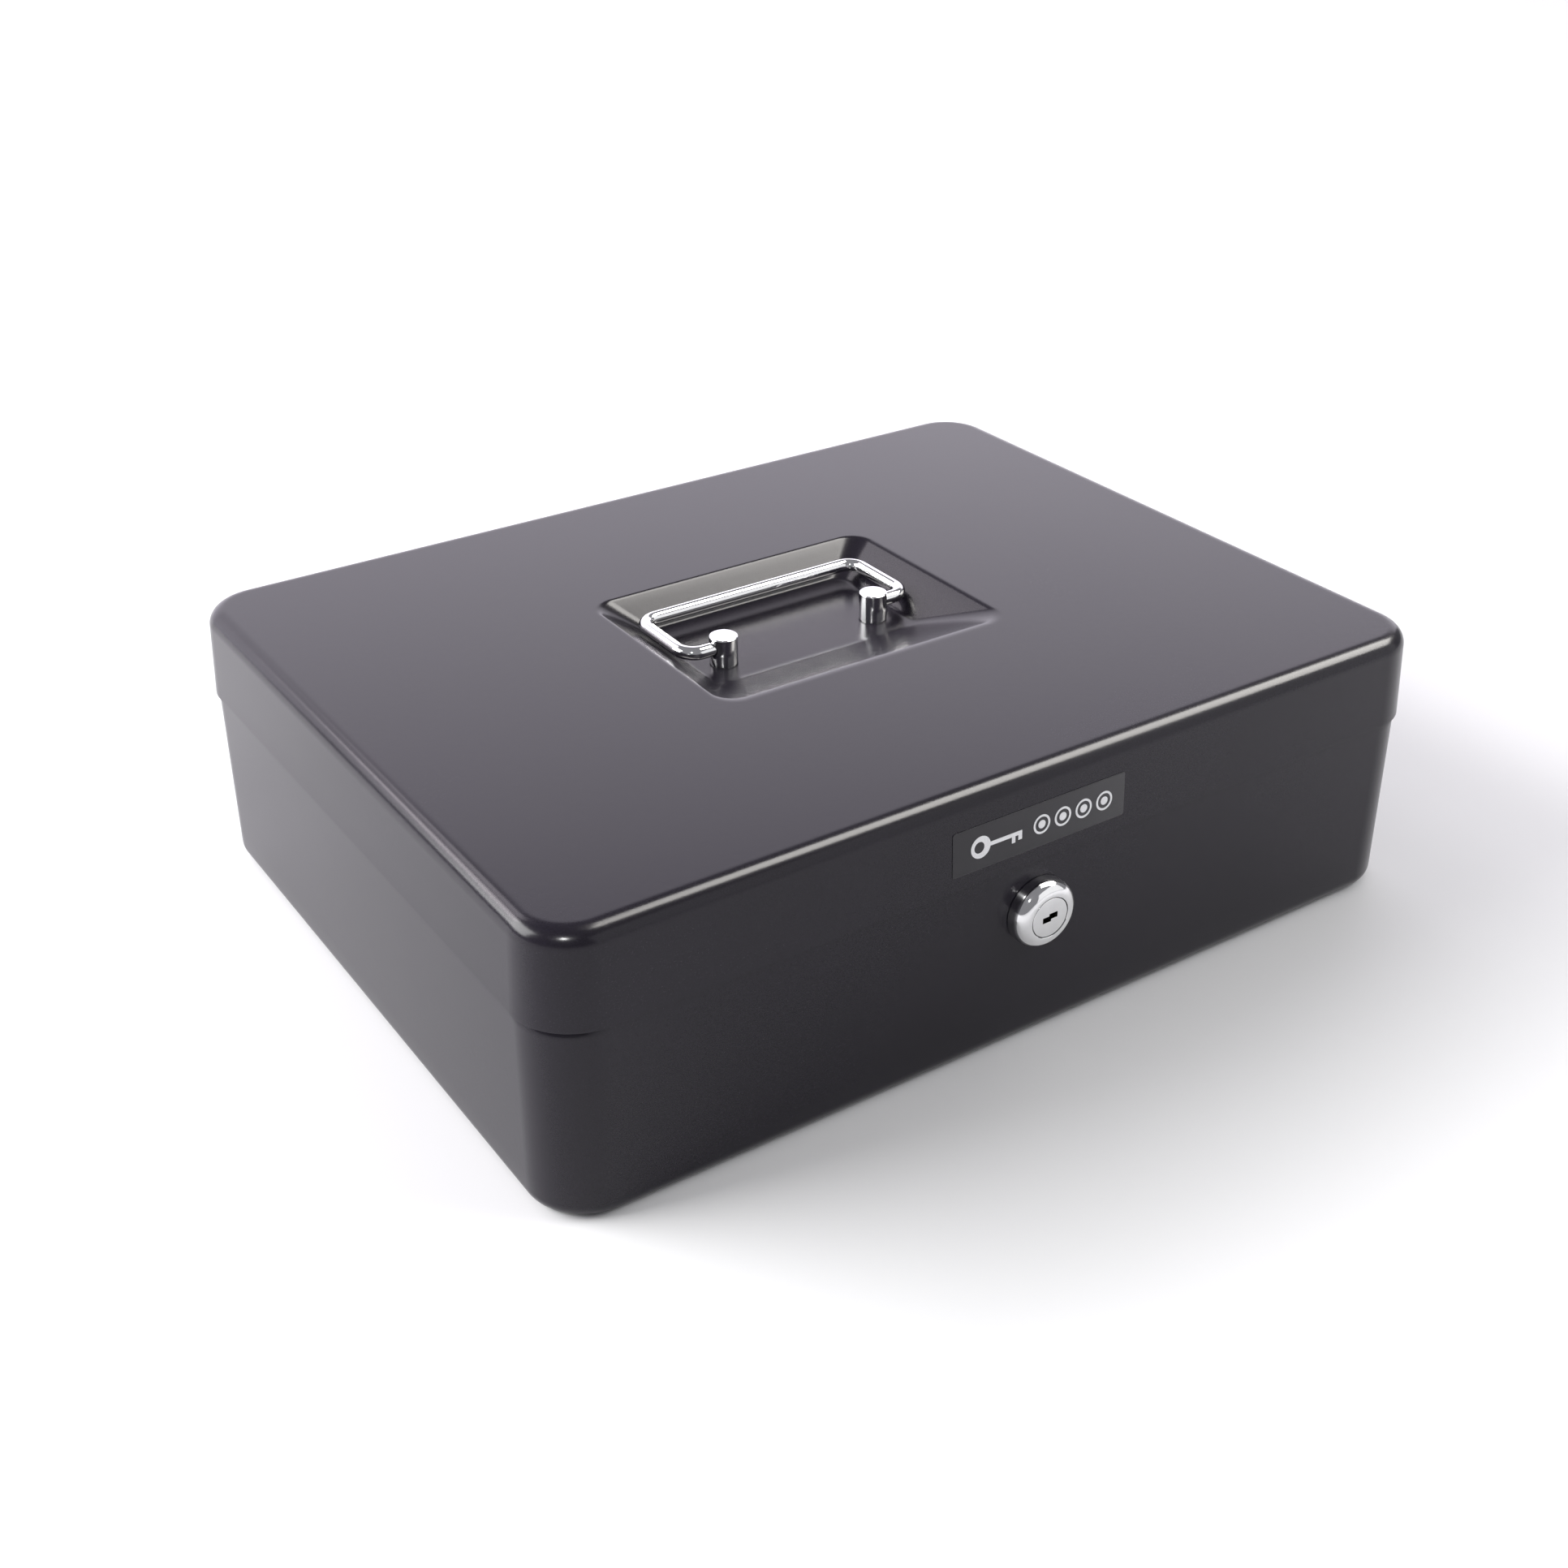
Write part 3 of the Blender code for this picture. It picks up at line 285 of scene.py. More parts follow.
def settle(item):
    """Put the result of an object's modifiers into its mesh."""
    graph = bpy.context.evaluated_depsgraph_get()
    mesh = bpy.data.meshes.new_from_object(item.evaluated_get(graph))
    item.modifiers.clear()
    item.data = mesh
    shade(mesh, 32.0)


def thicken(item):
    """Give a skin the sheet's thickness, towards its inside."""
    sheet = item.modifiers.new("sheet", "SOLIDIFY")
    sheet.thickness = SHEET
    sheet.offset = -1.0
    sheet.use_even_offset = True


def cut(item, meshes):
    """Take closed tool meshes out of an object."""
    tools = []
    for number, mesh in enumerate(meshes):
        tool = bpy.data.objects.new("tool", mesh)
        SCENE.collection.objects.link(tool)
        modifier = item.modifiers.new("cut_%d" % number, "BOOLEAN")
        modifier.operation = "DIFFERENCE"
        modifier.object = tool
        modifier.solver = "EXACT"
        tools.append(tool)
    bpy.context.view_layer.update()
    settle(item)
    for tool in tools:
        bpy.data.objects.remove(tool, do_unlink=True)


def place(x=0.0, y=0.0, z=0.0, turn=None):
    """A move, with an optional turn of (degrees, axis) before it."""
    move = Matrix.Translation((x, y, z))
    if turn:
        move = move @ Matrix.Rotation(math.radians(turn[0]), 4, turn[1])
    return move


def drum(radius, low, high, matrix=None, steps=40):
    """A plain cylinder along Z, for cutting holes."""
    outline = [(0, low), (radius, low), (radius, high), (0, high)]
    return revolve("drum", outline, steps, matrix=matrix)


def screw_slot(x, end):
    """The block that cuts a screw's slot into a head that ends at this height."""
    return box(
        "slot",
        (x - SLOT_REACH, -SLOT_HALF, end - 1 * MM),
        (x + SLOT_REACH, SLOT_HALF, end + SLOT_DEPTH),
    )


def body_of(node):
    """The body that a CAD node belongs to."""
    bodies = frame["record"]["behaviour"]["bodies"]
    return [body for body, nodes in bodies.items() if node in nodes][0]


# ---------------------------------------------------------------- materials

class Look:
    """A small builder for one procedural material."""

    def __init__(self, name):
        self.material = bpy.data.materials.new(name)
        self.material.use_nodes = True
        self.tree = self.material.node_tree
        self.shader = self.tree.nodes["Principled BSDF"]
        self.coords = self.tree.nodes.new("ShaderNodeTexCoord")

    def add(self, kind, **values):
        node = self.tree.nodes.new(kind)
        for key, value in values.items():
            setattr(node, key, value)
        return node

    def link(self, a, b):
        self.tree.links.new(a, b)

    def stretched(self, scale):
        mapping = self.add("ShaderNodeMapping")
        mapping.inputs["Scale"].default_value = scale
        self.link(self.coords.outputs["Object"], mapping.inputs["Vector"])
        return mapping.outputs["Vector"]

    def noise(self, scale, detail, rough, stretch=None):
        node = self.add("ShaderNodeTexNoise")
        node.inputs["Scale"].default_value = scale
        node.inputs["Detail"].default_value = detail
        node.inputs["Roughness"].default_value = rough
        vector = self.stretched(stretch) if stretch else self.coords.outputs["Object"]
        self.link(vector, node.inputs["Vector"])
        return node.outputs["Fac"]

    def ramp(self, value, stops):
        node = self.add("ShaderNodeValToRGB")
        band = node.color_ramp
        while len(band.elements) < len(stops):
            band.elements.new(0.5)
        for element, (spot, colour) in zip(band.elements, stops):
            element.position = spot
            element.color = (*colour, 1.0)
        self.link(value, node.inputs["Fac"])
        return node.outputs["Color"]

    def spread(self, value, low, high):
        """A noise value from its usual 0.3 to 0.7 spread over low to high."""
        node = self.add("ShaderNodeMapRange")
        node.inputs["From Min"].default_value = 0.3
        node.inputs["From Max"].default_value = 0.7
        node.inputs["To Min"].default_value = low
        node.inputs["To Max"].default_value = high
        self.link(value, node.inputs["Value"])
        return node.outputs["Result"]

    def math(self, kind, a, b):
        node = self.add("ShaderNodeMath", operation=kind)
        for socket, value in zip(node.inputs, (a, b)):
            if isinstance(value, (int, float)):
                socket.default_value = value
            else:
                self.link(value, socket)
        return node.outputs["Value"]

    def attribute(self, name):
        node = self.add("ShaderNodeAttribute", attribute_name=name)
        return node.outputs["Fac"]

    def bump(self, height, distance, before=None):
        node = self.add("ShaderNodeBump")
        node.inputs["Distance"].default_value = distance
        node.inputs["Strength"].default_value = 1.0
        self.link(height, node.inputs["Height"])
        if before is not None:
            self.link(before, node.inputs["Normal"])
        return node.outputs["Normal"]

    def set(self, **values):
        for key, value in values.items():
            socket = self.shader.inputs[key.replace("_", " ")]
            if isinstance(value, (int, float, tuple)):
                socket.default_value = value
            else:
                self.link(value, socket)


def paint_look():
    """Satin black powder coat: fine grain over a faint orange peel."""
    look = Look("black_powder_coat")
    grain = look.noise(2600.0, 3.0, 0.6)
    peel = look.noise(520.0, 2.0, 0.45)
    cloud = look.noise(11.0, 3.0, 0.5)
    wear = look.attribute("wear")
    colour = look.ramp(cloud, [(0.35, (0.0095, 0.0076, 0.0128)), (0.65, (0.0125, 0.0102, 0.0165))])
    speck = look.ramp(grain, [(0.30, (0.80, 0.80, 0.80)), (0.72, (1.25, 1.25, 1.25))])
    mix = look.add("ShaderNodeMix", data_type="RGBA", blend_type="MULTIPLY")
    mix.inputs["Factor"].default_value = 1.0
    look.link(colour, mix.inputs["A"])
    look.link(speck, mix.inputs["B"])
    base = look.spread(cloud, 0.215, 0.255)
    base = look.math("ADD", base, look.spread(grain, -0.02, 0.03))
    rough = look.math("SUBTRACT", base, look.math("MULTIPLY", wear, 0.035))
    normal = look.bump(peel, 0.010 * MM)
    normal = look.bump(grain, 0.0022 * MM, normal)
    look.set(Base_Color=mix.outputs["Result"], Roughness=rough, Normal=normal, IOR=1.35)
    return look.material


def two_scale_look(name, broad, fine, stops, broad_rough, fine_rough, relief, **values):
    """Colour from a broad noise, roughness from it and a fine one, relief from the fine one."""
    look = Look(name)
    broad = look.noise(*broad)
    fine = look.noise(*fine)
    colour = look.ramp(broad, stops)
    rough = look.math("ADD", look.spread(broad, *broad_rough), look.spread(fine, *fine_rough))
    normal = look.bump(fine, relief)
    look.set(Base_Color=colour, Roughness=rough, Normal=normal, **values)
    return look.material


def chrome_look():
    """Bright chrome plate with hairlines and faint finger smudges."""
    stops = [(0.3, (0.70, 0.70, 0.71)), (0.7, (0.77, 0.77, 0.775))]
    return two_scale_look(
        "bright_chrome", (160.0, 4.0, 0.6), (900.0, 2.0, 0.6, (1.0, 14.0, 1.0)),
        stops, (0.035, 0.085), (0.0, 0.03), 0.0006 * MM, Metallic=1.0,
    )


def zinc_look():
    """Zinc-plated steel: bluish grey with patches of passivate and fine pits."""
    stops = [(0.30, (0.50, 0.53, 0.57)), (0.50, (0.60, 0.61, 0.62)), (0.72, (0.62, 0.60, 0.54))]
    return two_scale_look(
        "zinc_plated_steel", (130.0, 4.0, 0.6), (3200.0, 2.0, 0.6),
        stops, (0.26, 0.38), (-0.04, 0.06), 0.006 * MM, Metallic=1.0,
    )


def brass_look():
    """Stamped brass with rolling lines and a little tarnish."""
    stops = [(0.3, (0.50, 0.34, 0.13)), (0.7, (0.74, 0.55, 0.24))]
    return two_scale_look(
        "stamped_brass", (420.0, 3.0, 0.6), (2400.0, 2.0, 0.6, (1.0, 1.0, 9.0)),
        stops, (0.22, 0.34), (-0.03, 0.05), 0.003 * MM, Metallic=1.0,
    )


def foil_look():
    """Dark satin label foil with a fine lengthwise brushing."""
    stops = [(0.3, (0.017, 0.016, 0.020)), (0.7, (0.023, 0.021, 0.026))]
    return two_scale_look(
        "dark_label_foil", (60.0, 2.0, 0.5), (5200.0, 2.0, 0.6, (0.06, 1.0, 1.0)),
        stops, (0.30, 0.36), (-0.04, 0.05), 0.0012 * MM, IOR=1.46,
    )


def mark_look():
    """Silver hot-stamped foil of the label's device."""
    look = Look("silver_foil")
    fleck = look.noise(3600.0, 2.0, 0.7)
    colour = look.ramp(fleck, [(0.25, (0.62, 0.62, 0.64)), (0.75, (0.86, 0.86, 0.87))])
    rough = look.spread(fleck, 0.38, 0.52)
    normal = look.bump(fleck, 0.002 * MM)
    look.set(Base_Color=colour, Metallic=0.35, Roughness=rough, Normal=normal)
    return look.material


def plastic_look():
    """Moulded black plastic with a fine spark-eroded texture."""
    stops = [(0.3, (0.016, 0.016, 0.018)), (0.7, (0.022, 0.022, 0.024))]
    return two_scale_look(
        "moulded_plastic", (24.0, 2.0, 0.5), (1500.0, 3.0, 0.6),
        stops, (0.40, 0.47), (-0.05, 0.07), 0.022 * MM,
    )


PAINT = paint_look()
CHROME = chrome_look()
ZINC = zinc_look()
BRASS = brass_look()
FOIL = foil_look()
MARK = mark_look()
PLASTIC = plastic_look()
SLOTS = {
    "black_paint": PAINT,
    "chrome": CHROME,
    "zinc_plate": ZINC,
    "brass": BRASS,
    "label_foil": FOIL,
    "tray_plastic": PLASTIC,
}


def piece(name, mesh, slot, body, nodes=(), material=None):
    """A visible piece: its mesh, material slot, the body it rides on, what it stands for."""
    item = bpy.data.objects.new(name, mesh)
    SCENE.collection.objects.link(item)
    mesh.materials.clear()
    mesh.materials.append(material or SLOTS[slot])
    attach(item, body)
    if nodes:
        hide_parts(*nodes)
    return item


# ---------------------------------------------------------------- lid

def box_ring(half_x, half_y, radius, inset, height):
    """A level of the lid or the tub, moved in from its plan by inset."""
    x, y = half_x - inset, half_y - inset
    outline = rounded_rectangle(-x, x, -y, y, max(radius - inset, 0.3 * MM))
    return [(x, y, height) for x, y in outline]


def recess_ring(share, grow=0.0, sink=0.0):
    """One level of the handle recess: share 0 is the rim on the lid, 1 its floor."""
    ease = RECESS_EASE
    if share < ease:
        drop = share * share / (2 * ease)
    elif share > 1 - ease:
        drop = 1 - ease - (1 - share) * (1 - share) / (2 * ease)
    else:
        drop = share - ease / 2
    drop = drop / (1 - ease)
    half_x, front, rear, corner = [a + (b - a) * share for a, b in zip(RIM_PLAN, FLOOR_PLAN)]
    outline = rounded_rectangle(
        -half_x - grow, half_x + grow, front - grow, rear + grow, max(corner + grow, 1.0 * MM)
    )
    return [(x, y, TOP - RECESS_DEPTH * drop - sink) for x, y in outline]


def make_lid():
    """Pressed lid: leaning skirt, round top edge, flat top and the recess in one skin."""
    run = TOP - LID_EDGE - SEAM
    rings, wear = [], []

    def level(inset, height, polish=0.0):
        rings.append(box_ring(HALF_X, HALF_Y, CORNER_RADIUS, inset, height))
        wear.append(polish)

    level(0.0, SEAM)
    level(0.0, SEAM + 0.4 * MM)
    for share in (0.05, 0.35, 0.65, 0.95):
        level(LID_DRAFT * share, SEAM + run * share)
    for number, (x, y) in enumerate(arc(0, 0, LID_EDGE, 0, 90, 14)):
        level(LID_DRAFT + LID_EDGE - x, TOP - LID_EDGE + y, math.sin(math.pi * number / 14))
    level(LID_DRAFT + LID_EDGE + SUPPORT, TOP)
    rings.append(recess_ring(0.0, SUPPORT))
    wear.append(0.0)
    bend = [RECESS_EASE * i / 7 for i in range(8)]
    for share in bend + [0.3, 0.5, 0.7] + [1 - part for part in reversed(bend)]:
        rings.append(recess_ring(share))
        wear.append(0.6 * max(0.0, 1 - abs(share - 0.08) / 0.08))
    rings.append(recess_ring(1.0, -SUPPORT))
    wear.append(0.0)
    lid = piece("lid_skin", loft("lid_skin", rings, wear), "black_paint", "lid", ["lid_shell"])
    thicken(lid)
    tools = []
    for side in ("left", "right"):
        low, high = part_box("post_screw_" + side)
        centre = (low + high) / 2
        tools.append(drum(POST_SCREW_HOLE, low.z - 3 * MM, high.z, place(centre.x, centre.y)))
    cut(lid, tools)


make_lid()


# ---------------------------------------------------------------- tub

def make_tub():
    """Drawn tub: rolled rim, inward step above the seam, flared wall, rounded foot."""
    half_x, half_y = HALF_X - TUB_INSET, HALF_Y - TUB_INSET
    neck = SEAM + NECK_GAP
    curl = RIM_TOP - HEM_RADIUS
    hem_inset = JOGGLE + 2 * HEM_RADIUS
    rim = [(hem_inset, curl - HEM_DROP, 0.6), (hem_inset, curl - 0.3 * MM, 0.0)]
    for x, y in arc(0, 0, HEM_RADIUS, 0, 180, 12):
        rim.append((JOGGLE + HEM_RADIUS + x, curl + y, 1.0))
    rim.append((JOGGLE, curl - 0.4 * MM, 0.0))
    for share in (1.0, 0.85, 0.7, 0.5, 0.3, 0.15, 0.0):
        smooth = share * share * (3 - 2 * share)
        rim.append((JOGGLE * smooth, neck + JOGGLE_HEIGHT * share, 0.0))
    for below in (0.5 * MM, 0.9 * MM, 1.3 * MM, 1.7 * MM, 2.1 * MM, 2.6 * MM, 3.2 * MM):
        rim.append((-TUB_FLARE * below / (neck - TUB_FOOT), neck - below, 0.0))
    for share in (0.7, 0.4, 0.1):
        rim.append((-TUB_FLARE * (1 - share), TUB_FOOT + (neck - TUB_FOOT) * share, 0.0))
    for number, (x, y) in enumerate(arc(0, 0, TUB_FOOT, 0, 90, 12)):
        polish = math.sin(math.pi * number / 12)
        rim.append((TUB_FOOT - x - TUB_FLARE, TUB_FOOT - y, polish))
    rim.append((TUB_FOOT - TUB_FLARE + SUPPORT, 0.0, 0.0))
    rings, wear = [], []
    for inset, height, polish in rim:
        near = max(0.0, 1 - abs(height - neck) / SHOULDER_HEIGHT)
        corner = CORNER_RADIUS - TUB_INSET + SHOULDER_EASE * near * near * (3 - 2 * near)
        rings.append(list(reversed(box_ring(half_x, half_y, corner, inset, height))))
        wear.append(polish)
    tub = piece("tub_skin", loft("tub_skin", rings, wear), "black_paint", "base", ["base_tub"])
    thicken(tub)
    low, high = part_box("lock_washer")
    seat = place(0, low.y - 1 * MM, (low.z + high.z) / 2, (90, "X"))
    cut(tub, [drum(BARREL_HOLE, -6 * MM, 6 * MM, seat)])


make_tub()


# ---------------------------------------------------------------- handle

def make_bail():
    """Chromed wire, swept along its route with round bends."""
    low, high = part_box("bail_handle")
    radius = (high.z - low.z) / 2
    pivot = (high.z + low.z) / 2
    half = high.x - radius
    reach = high.y - radius
    bend = 5.5 * MM
    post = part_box("handle_post_right")[1].x
    end = post - 3.3 * MM
    route = [(end, 0.0), (end + 1.0 * MM, 0.0)]
    route += arc(half - bend, bend, bend, 270, 360, 14)
    route += [(half, bend + 0.8 * MM), (half, reach - bend - 0.8 * MM)]
    route += arc(half - bend, reach - bend, bend, 0, 90, 14)
    route += [(half - bend - 0.8 * MM, reach)]
    route = route + [(-x, y) for x, y in reversed(route)]
    work = bmesh.new()
    sides = 40
    rings = []
    for index, (x, y) in enumerate(route):
        back = Vector(route[max(index - 1, 0)])
        ahead = Vector(route[min(index + 1, len(route) - 1)])
        along = (ahead - back).normalized()
        across = Vector((along.y, -along.x))
        before = Vector((x, y)) - back
        after = ahead - Vector((x, y))
        turn = before.angle(after) / 2 if before.length > 0 and after.length > 0 else 0.0
        widen = 1 / math.cos(turn)
        ring = []
        for k in range(sides):
            a = 2 * math.pi * k / sides
            side = across * math.cos(a) * radius * widen
            ring.append(work.verts.new((x + side.x, y + side.y, pivot + radius * math.sin(a))))
        rings.append(ring)
    skin(work, rings)
    work.faces.new(rings[0])
    work.faces.new(rings[-1])
    piece("bail_wire", to_mesh("bail_wire", work), "chrome", "bail", ["bail_handle"])


make_bail()


def make_posts():
    """Turned posts with a soft top edge, a socket for the wire and a base ring."""
    wire_low, wire_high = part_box("bail_handle")
    wire = (wire_high.z - wire_low.z) / 2
    pivot = (wire_high.z + wire_low.z) / 2
    for side, sign in (("left", -1), ("right", 1)):
        low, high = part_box("handle_post_" + side)
        x = (low.x + high.x) / 2
        radius = (high.x - low.x) / 2
        foot = low.z - 0.25 * MM
        ring = radius - 0.25 * MM
        bore, bore_top = 1.9 * MM, pivot - wire - 0.9 * MM
        outline = [
            (0, high.z),
            (radius, high.z),
            (radius, foot + 0.35 * MM),
            (ring, foot + 0.3 * MM),
            (ring, foot),
            (bore, foot),
            (bore, bore_top),
            (0, bore_top),
        ]
        profile = fillet(outline, [0, 0.45 * MM, 0.08 * MM, 0, 0, 0, 0, 0], steps=5)
        mesh = revolve("post_" + side, profile, 96, matrix=place(x))
        post = piece("post_" + side, mesh, "chrome", "lid", ["handle_post_" + side])
        mouth = place(sign * (abs(x) + radius), 0, pivot, (90, "Y"))
        cut(post, [drum(wire + 0.22 * MM, -3.6 * MM, 3.6 * MM, mouth, 48)])


make_posts()


def make_post_fixings():
    """Under the recess's floor: a washer and a slotted screw for each post."""
    for side in ("left", "right"):
        low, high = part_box("post_washer_" + side)
        x = (low.x + high.x) / 2
        radius = (high.x - low.x) / 2
        bore = 1.95 * MM
        outline = [(radius, high.z), (radius, low.z), (bore, low.z), (bore, high.z)]
        profile = fillet(outline, 0.18 * MM, True, 3)
        mesh = revolve("washer_" + side, profile, 64, True, place(x))
        piece("washer_" + side, mesh, "zinc_plate", "lid", ["post_washer_" + side])
        low_s, high_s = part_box("post_screw_" + side)
        head = (high_s.x - low_s.x) / 2
        head_top = low.z - 0.3 * MM
        shank = 1.6 * MM
        outline = [
            (0, high_s.z),
            (1.35 * MM, high_s.z),
            (shank, high_s.z - 0.3 * MM),
            (shank, head_top),
            (head, head_top),
            (head, head_top - 0.7 * MM),
            (head * 0.62, low_s.z),
            (0, low_s.z),
        ]
        profile = fillet(outline, [0, 0, 0, 0, 0.12 * MM, 0.5 * MM, 0.9 * MM, 0], steps=5)
        mesh = revolve("screw_" + side, profile, 56, matrix=place(x))
        screw = piece("screw_" + side, mesh, "zinc_plate", "lid", ["post_screw_" + side])
        cut(screw, [screw_slot(x, low_s.z)])


make_post_fixings()


# ---------------------------------------------------------------- lock

HOUSING_LOW, HOUSING_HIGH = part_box("lock_housing")
LOCK_Z = (HOUSING_LOW.z + HOUSING_HIGH.z) / 2
BEZEL = (HOUSING_HIGH.x - HOUSING_LOW.x) / 2
BEZEL_HEIGHT = 6.0 * MM
LOCK_Y = HOUSING_LOW.y + BEZEL_HEIGHT
LOCK = place(0, LOCK_Y, LOCK_Z, (90, "X"))
PLUG = 6.1 * MM
BARREL = 7.6 * MM
BARREL_END = -18.0 * MM
THREAD_PITCH = 1.0 * MM
THREAD_DEPTH = 0.42 * MM
KEYWAY = (1.8 * MM, 0.75 * MM, 5.2 * MM)     # width, step, length
WAFER_PITCH = 2.4 * MM


def threaded_barrel():
    """Barrel behind the bezel with its helical thread, as one closed tube."""
    steps = 72
    bore = PLUG + 0.3 * MM
    work = bmesh.new()
    start, end = 0.35 * MM, BARREL_END
    levels = 110
    rings = []
    for i in range(levels + 1):
        height = start + (end - start) * i / levels
        fade = min(1.0, i / 12, (levels - i) / 4)
        radii = []
        for k in range(steps):
            phase = (height / THREAD_PITCH + k / steps) % 1.0
            groove = abs(2 * phase - 1)
            radii.append(BARREL - THREAD_DEPTH * groove * fade - (0.25 * MM if i == levels else 0))
        rings.append(ring_of(work, radii, height))
    for height in (end, start):
        rings.append(ring_of(work, [bore] * steps, height))
    skin(work, rings + rings[:1])
    work.transform(LOCK)
    return to_mesh("barrel", work, 50.0)


def make_housing():
    """Domed bezel: a short straight side, a full round dome and a flat ring."""
    bore = PLUG + 0.22 * MM
    side = 2.4 * MM
    face = bore + 0.5 * MM
    profile = [(BEZEL - 0.12 * MM, 0.05 * MM), (BEZEL, 0.2 * MM)]
    for x, y in reversed(arc(0, 0, 1.0, 90, 0, 20)):
        profile.append((face + (BEZEL - face) * x, side + (BEZEL_HEIGHT - side) * y))
    profile += [(bore + 0.12 * MM, BEZEL_HEIGHT), (bore, BEZEL_HEIGHT - 0.12 * MM)]
    profile += [(bore, 0.05 * MM)]
    dome = revolve("bezel", profile, 128, True, LOCK)
    mesh = join("lock_bezel", [dome, threaded_barrel()])
    piece("lock_bezel", mesh, "chrome", "base", ["lock_housing"])


make_housing()


def keyway(width, step, length):
    """Outline of the stepped slot in the plug's face."""
    half, wide, jog = length / 2, width / 2, step / 2
    return [
        (-half, -jog - wide),
        (jog, -jog - wide),
        (jog, jog - wide),
        (half, jog - wide),
        (half, jog + wide),
        (-jog, jog + wide),
        (-jog, -jog + wide),
        (-half, -jog + wide),
    ]


def make_plug():
    """Plug face with a fine edge and the stepped keyway, flats on its tail and gaps for the
    wafers.
    """
    top = BEZEL_HEIGHT - 0.1 * MM
    shoulder = BARREL_END + 0.3 * MM
    tail, tail_end = 3.0 * MM, BARREL_END - 1.9 * MM
    bore, bore_end = 1.7 * MM, BARREL_END + 3.0 * MM
    outline = [
        (0, top),
        (PLUG, top),
        (PLUG, shoulder),
        (tail, shoulder),
        (tail, tail_end),
        (bore, tail_end),
        (bore, bore_end),
        (0, bore_end),
    ]
    profile = fillet(outline, [0, 0.18 * MM, 0.2 * MM, 0, 0.15 * MM, 0, 0, 0], steps=4)
    mesh = revolve("lock_core", profile, 112, matrix=LOCK)
    plug = piece("lock_core", mesh, "chrome", "plug", ["lock_plug"])
    slot = plate("keyway", [fillet(keyway(*KEYWAY), 0.1 * MM, True, 2)], 13.0 * MM)
    slot.transform(LOCK @ Matrix.Translation((0, 0, top - 6.2 * MM)))
    tools = [slot]
    for turn in (0, 180):
        flat = box("flat", (2.3 * MM, -8 * MM, tail_end - 1 * MM), (9 * MM, 8 * MM, shoulder))
        flat.transform(LOCK @ Matrix.Rotation(math.radians(turn), 4, "Z"))
        tools.append(flat)
    for index in range(4):
        height = -1.0 * MM - index * WAFER_PITCH
        low = (-9 * MM, -3.2 * MM, height - 0.6 * MM)
        gap = box("gap", low, (9 * MM, 3.2 * MM, height + 0.6 * MM))
        gap.transform(LOCK)
        tools.append(gap)
    cut(plug, tools)


make_plug()


def behind_face(node):
    """A lock part's (front, rear, radius), measured along the lock from its seat."""
    low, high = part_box(node)
    return -(low.y - LOCK_Y), -(high.y - LOCK_Y), (high.x - low.x) / 2


def lock_washer(name, node, body, bore, steps):
    front, rear, radius = behind_face(node)
    outline = [(radius, front), (radius, rear), (bore, rear), (bore, front)]
    mesh = revolve(name, fillet(outline, WASHER_EDGE, True, 3), steps, True, LOCK)
    piece(name, mesh, "zinc_plate", body, [node])
    return rear


def make_nut():
    """Hexagon nut with chamfered corners and an eased bore."""
    low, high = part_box("lock_nut")
    front, rear = -(low.y - LOCK_Y), -(high.y - LOCK_Y)
    bore = BARREL + 0.1 * MM
    chamfer, ease = 0.9 * MM, 0.35 * MM
    flat = max(high.x - low.x, high.z - low.z) / 2 * math.sqrt(3) / 2
    steps = 96
    work = bmesh.new()
    rings = []
    for height, bitten in (
        (front, True), (front - chamfer, False), (rear + chamfer, False), (rear, True)
    ):
        radii = []
        for k in range(steps):
            nearest = (math.degrees(2 * math.pi * k / steps) + 30) % 60 - 30
            hexagon = flat / math.cos(math.radians(abs(nearest) - 30))
            radii.append(min(hexagon, flat * 1.01) if bitten else hexagon)
        rings.append(ring_of(work, radii, height))
    for radius, height in (
        (bore + ease, rear), (bore, rear + ease), (bore, front - ease), (bore + ease, front)
    ):
        rings.append(ring_of(work, [radius] * steps, height))
    skin(work, rings + rings[:1])
    work.transform(LOCK)
    piece("hex_nut", to_mesh("hex_nut", work, 25.0), "zinc_plate", "base", ["lock_nut"])


def make_cam():
    """Flat cam on the plug's tail, with a double-D eye."""
    low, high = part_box("lock_cam")
    middle = -((low.y + high.y) / 2 - LOCK_Y)
    hub = (high.x - low.x) / 2
    length = high.z - LOCK_Z
    tip = 3.0 * MM
    outline = arc(0, 0, hub, 180, 360, 28)
    outline += arc(hub - tip, length - tip, tip, 0, 90, 10)
    outline += arc(tip - hub, length - tip, tip, 90, 180, 10)
    reach, half = 3.2 * MM, 2.5 * MM
    turn = math.degrees(math.acos(half / reach))
    eye = arc(0, 0, reach, turn, 180 - turn, 12) + arc(0, 0, reach, 180 + turn, 360 - turn, 12)
    seat = LOCK @ Matrix.Translation((0, 0, middle))
    mesh = plate("cam", [outline, eye], high.y - low.y, 0.2 * MM, seat)
    piece("cam", mesh, "zinc_plate", "plug", ["lock_cam"])


def make_cam_screw(seat):
    """Slotted screw whose head sits just behind the cam's washer."""
    shank, tail, head = behind_face("cam_screw")
    radius, under = 1.4 * MM, seat - 0.3 * MM
    outline = [
        (0, shank),
        (radius, shank),
        (radius, under),
        (head, under),
        (head, under - 0.7 * MM),
        (head * 0.6, tail),
        (0, tail),
    ]
    profile = fillet(outline, [0, 0.2 * MM, 0, 0.1 * MM, 0.4 * MM, 0.8 * MM, 0], steps=5)
    mesh = revolve("cam_bolt", profile, 48, matrix=LOCK)
    screw = piece("cam_bolt", mesh, "zinc_plate", "plug", ["cam_screw"])
    slot = screw_slot(0, tail)
    slot.transform(LOCK)
    cut(screw, [slot])


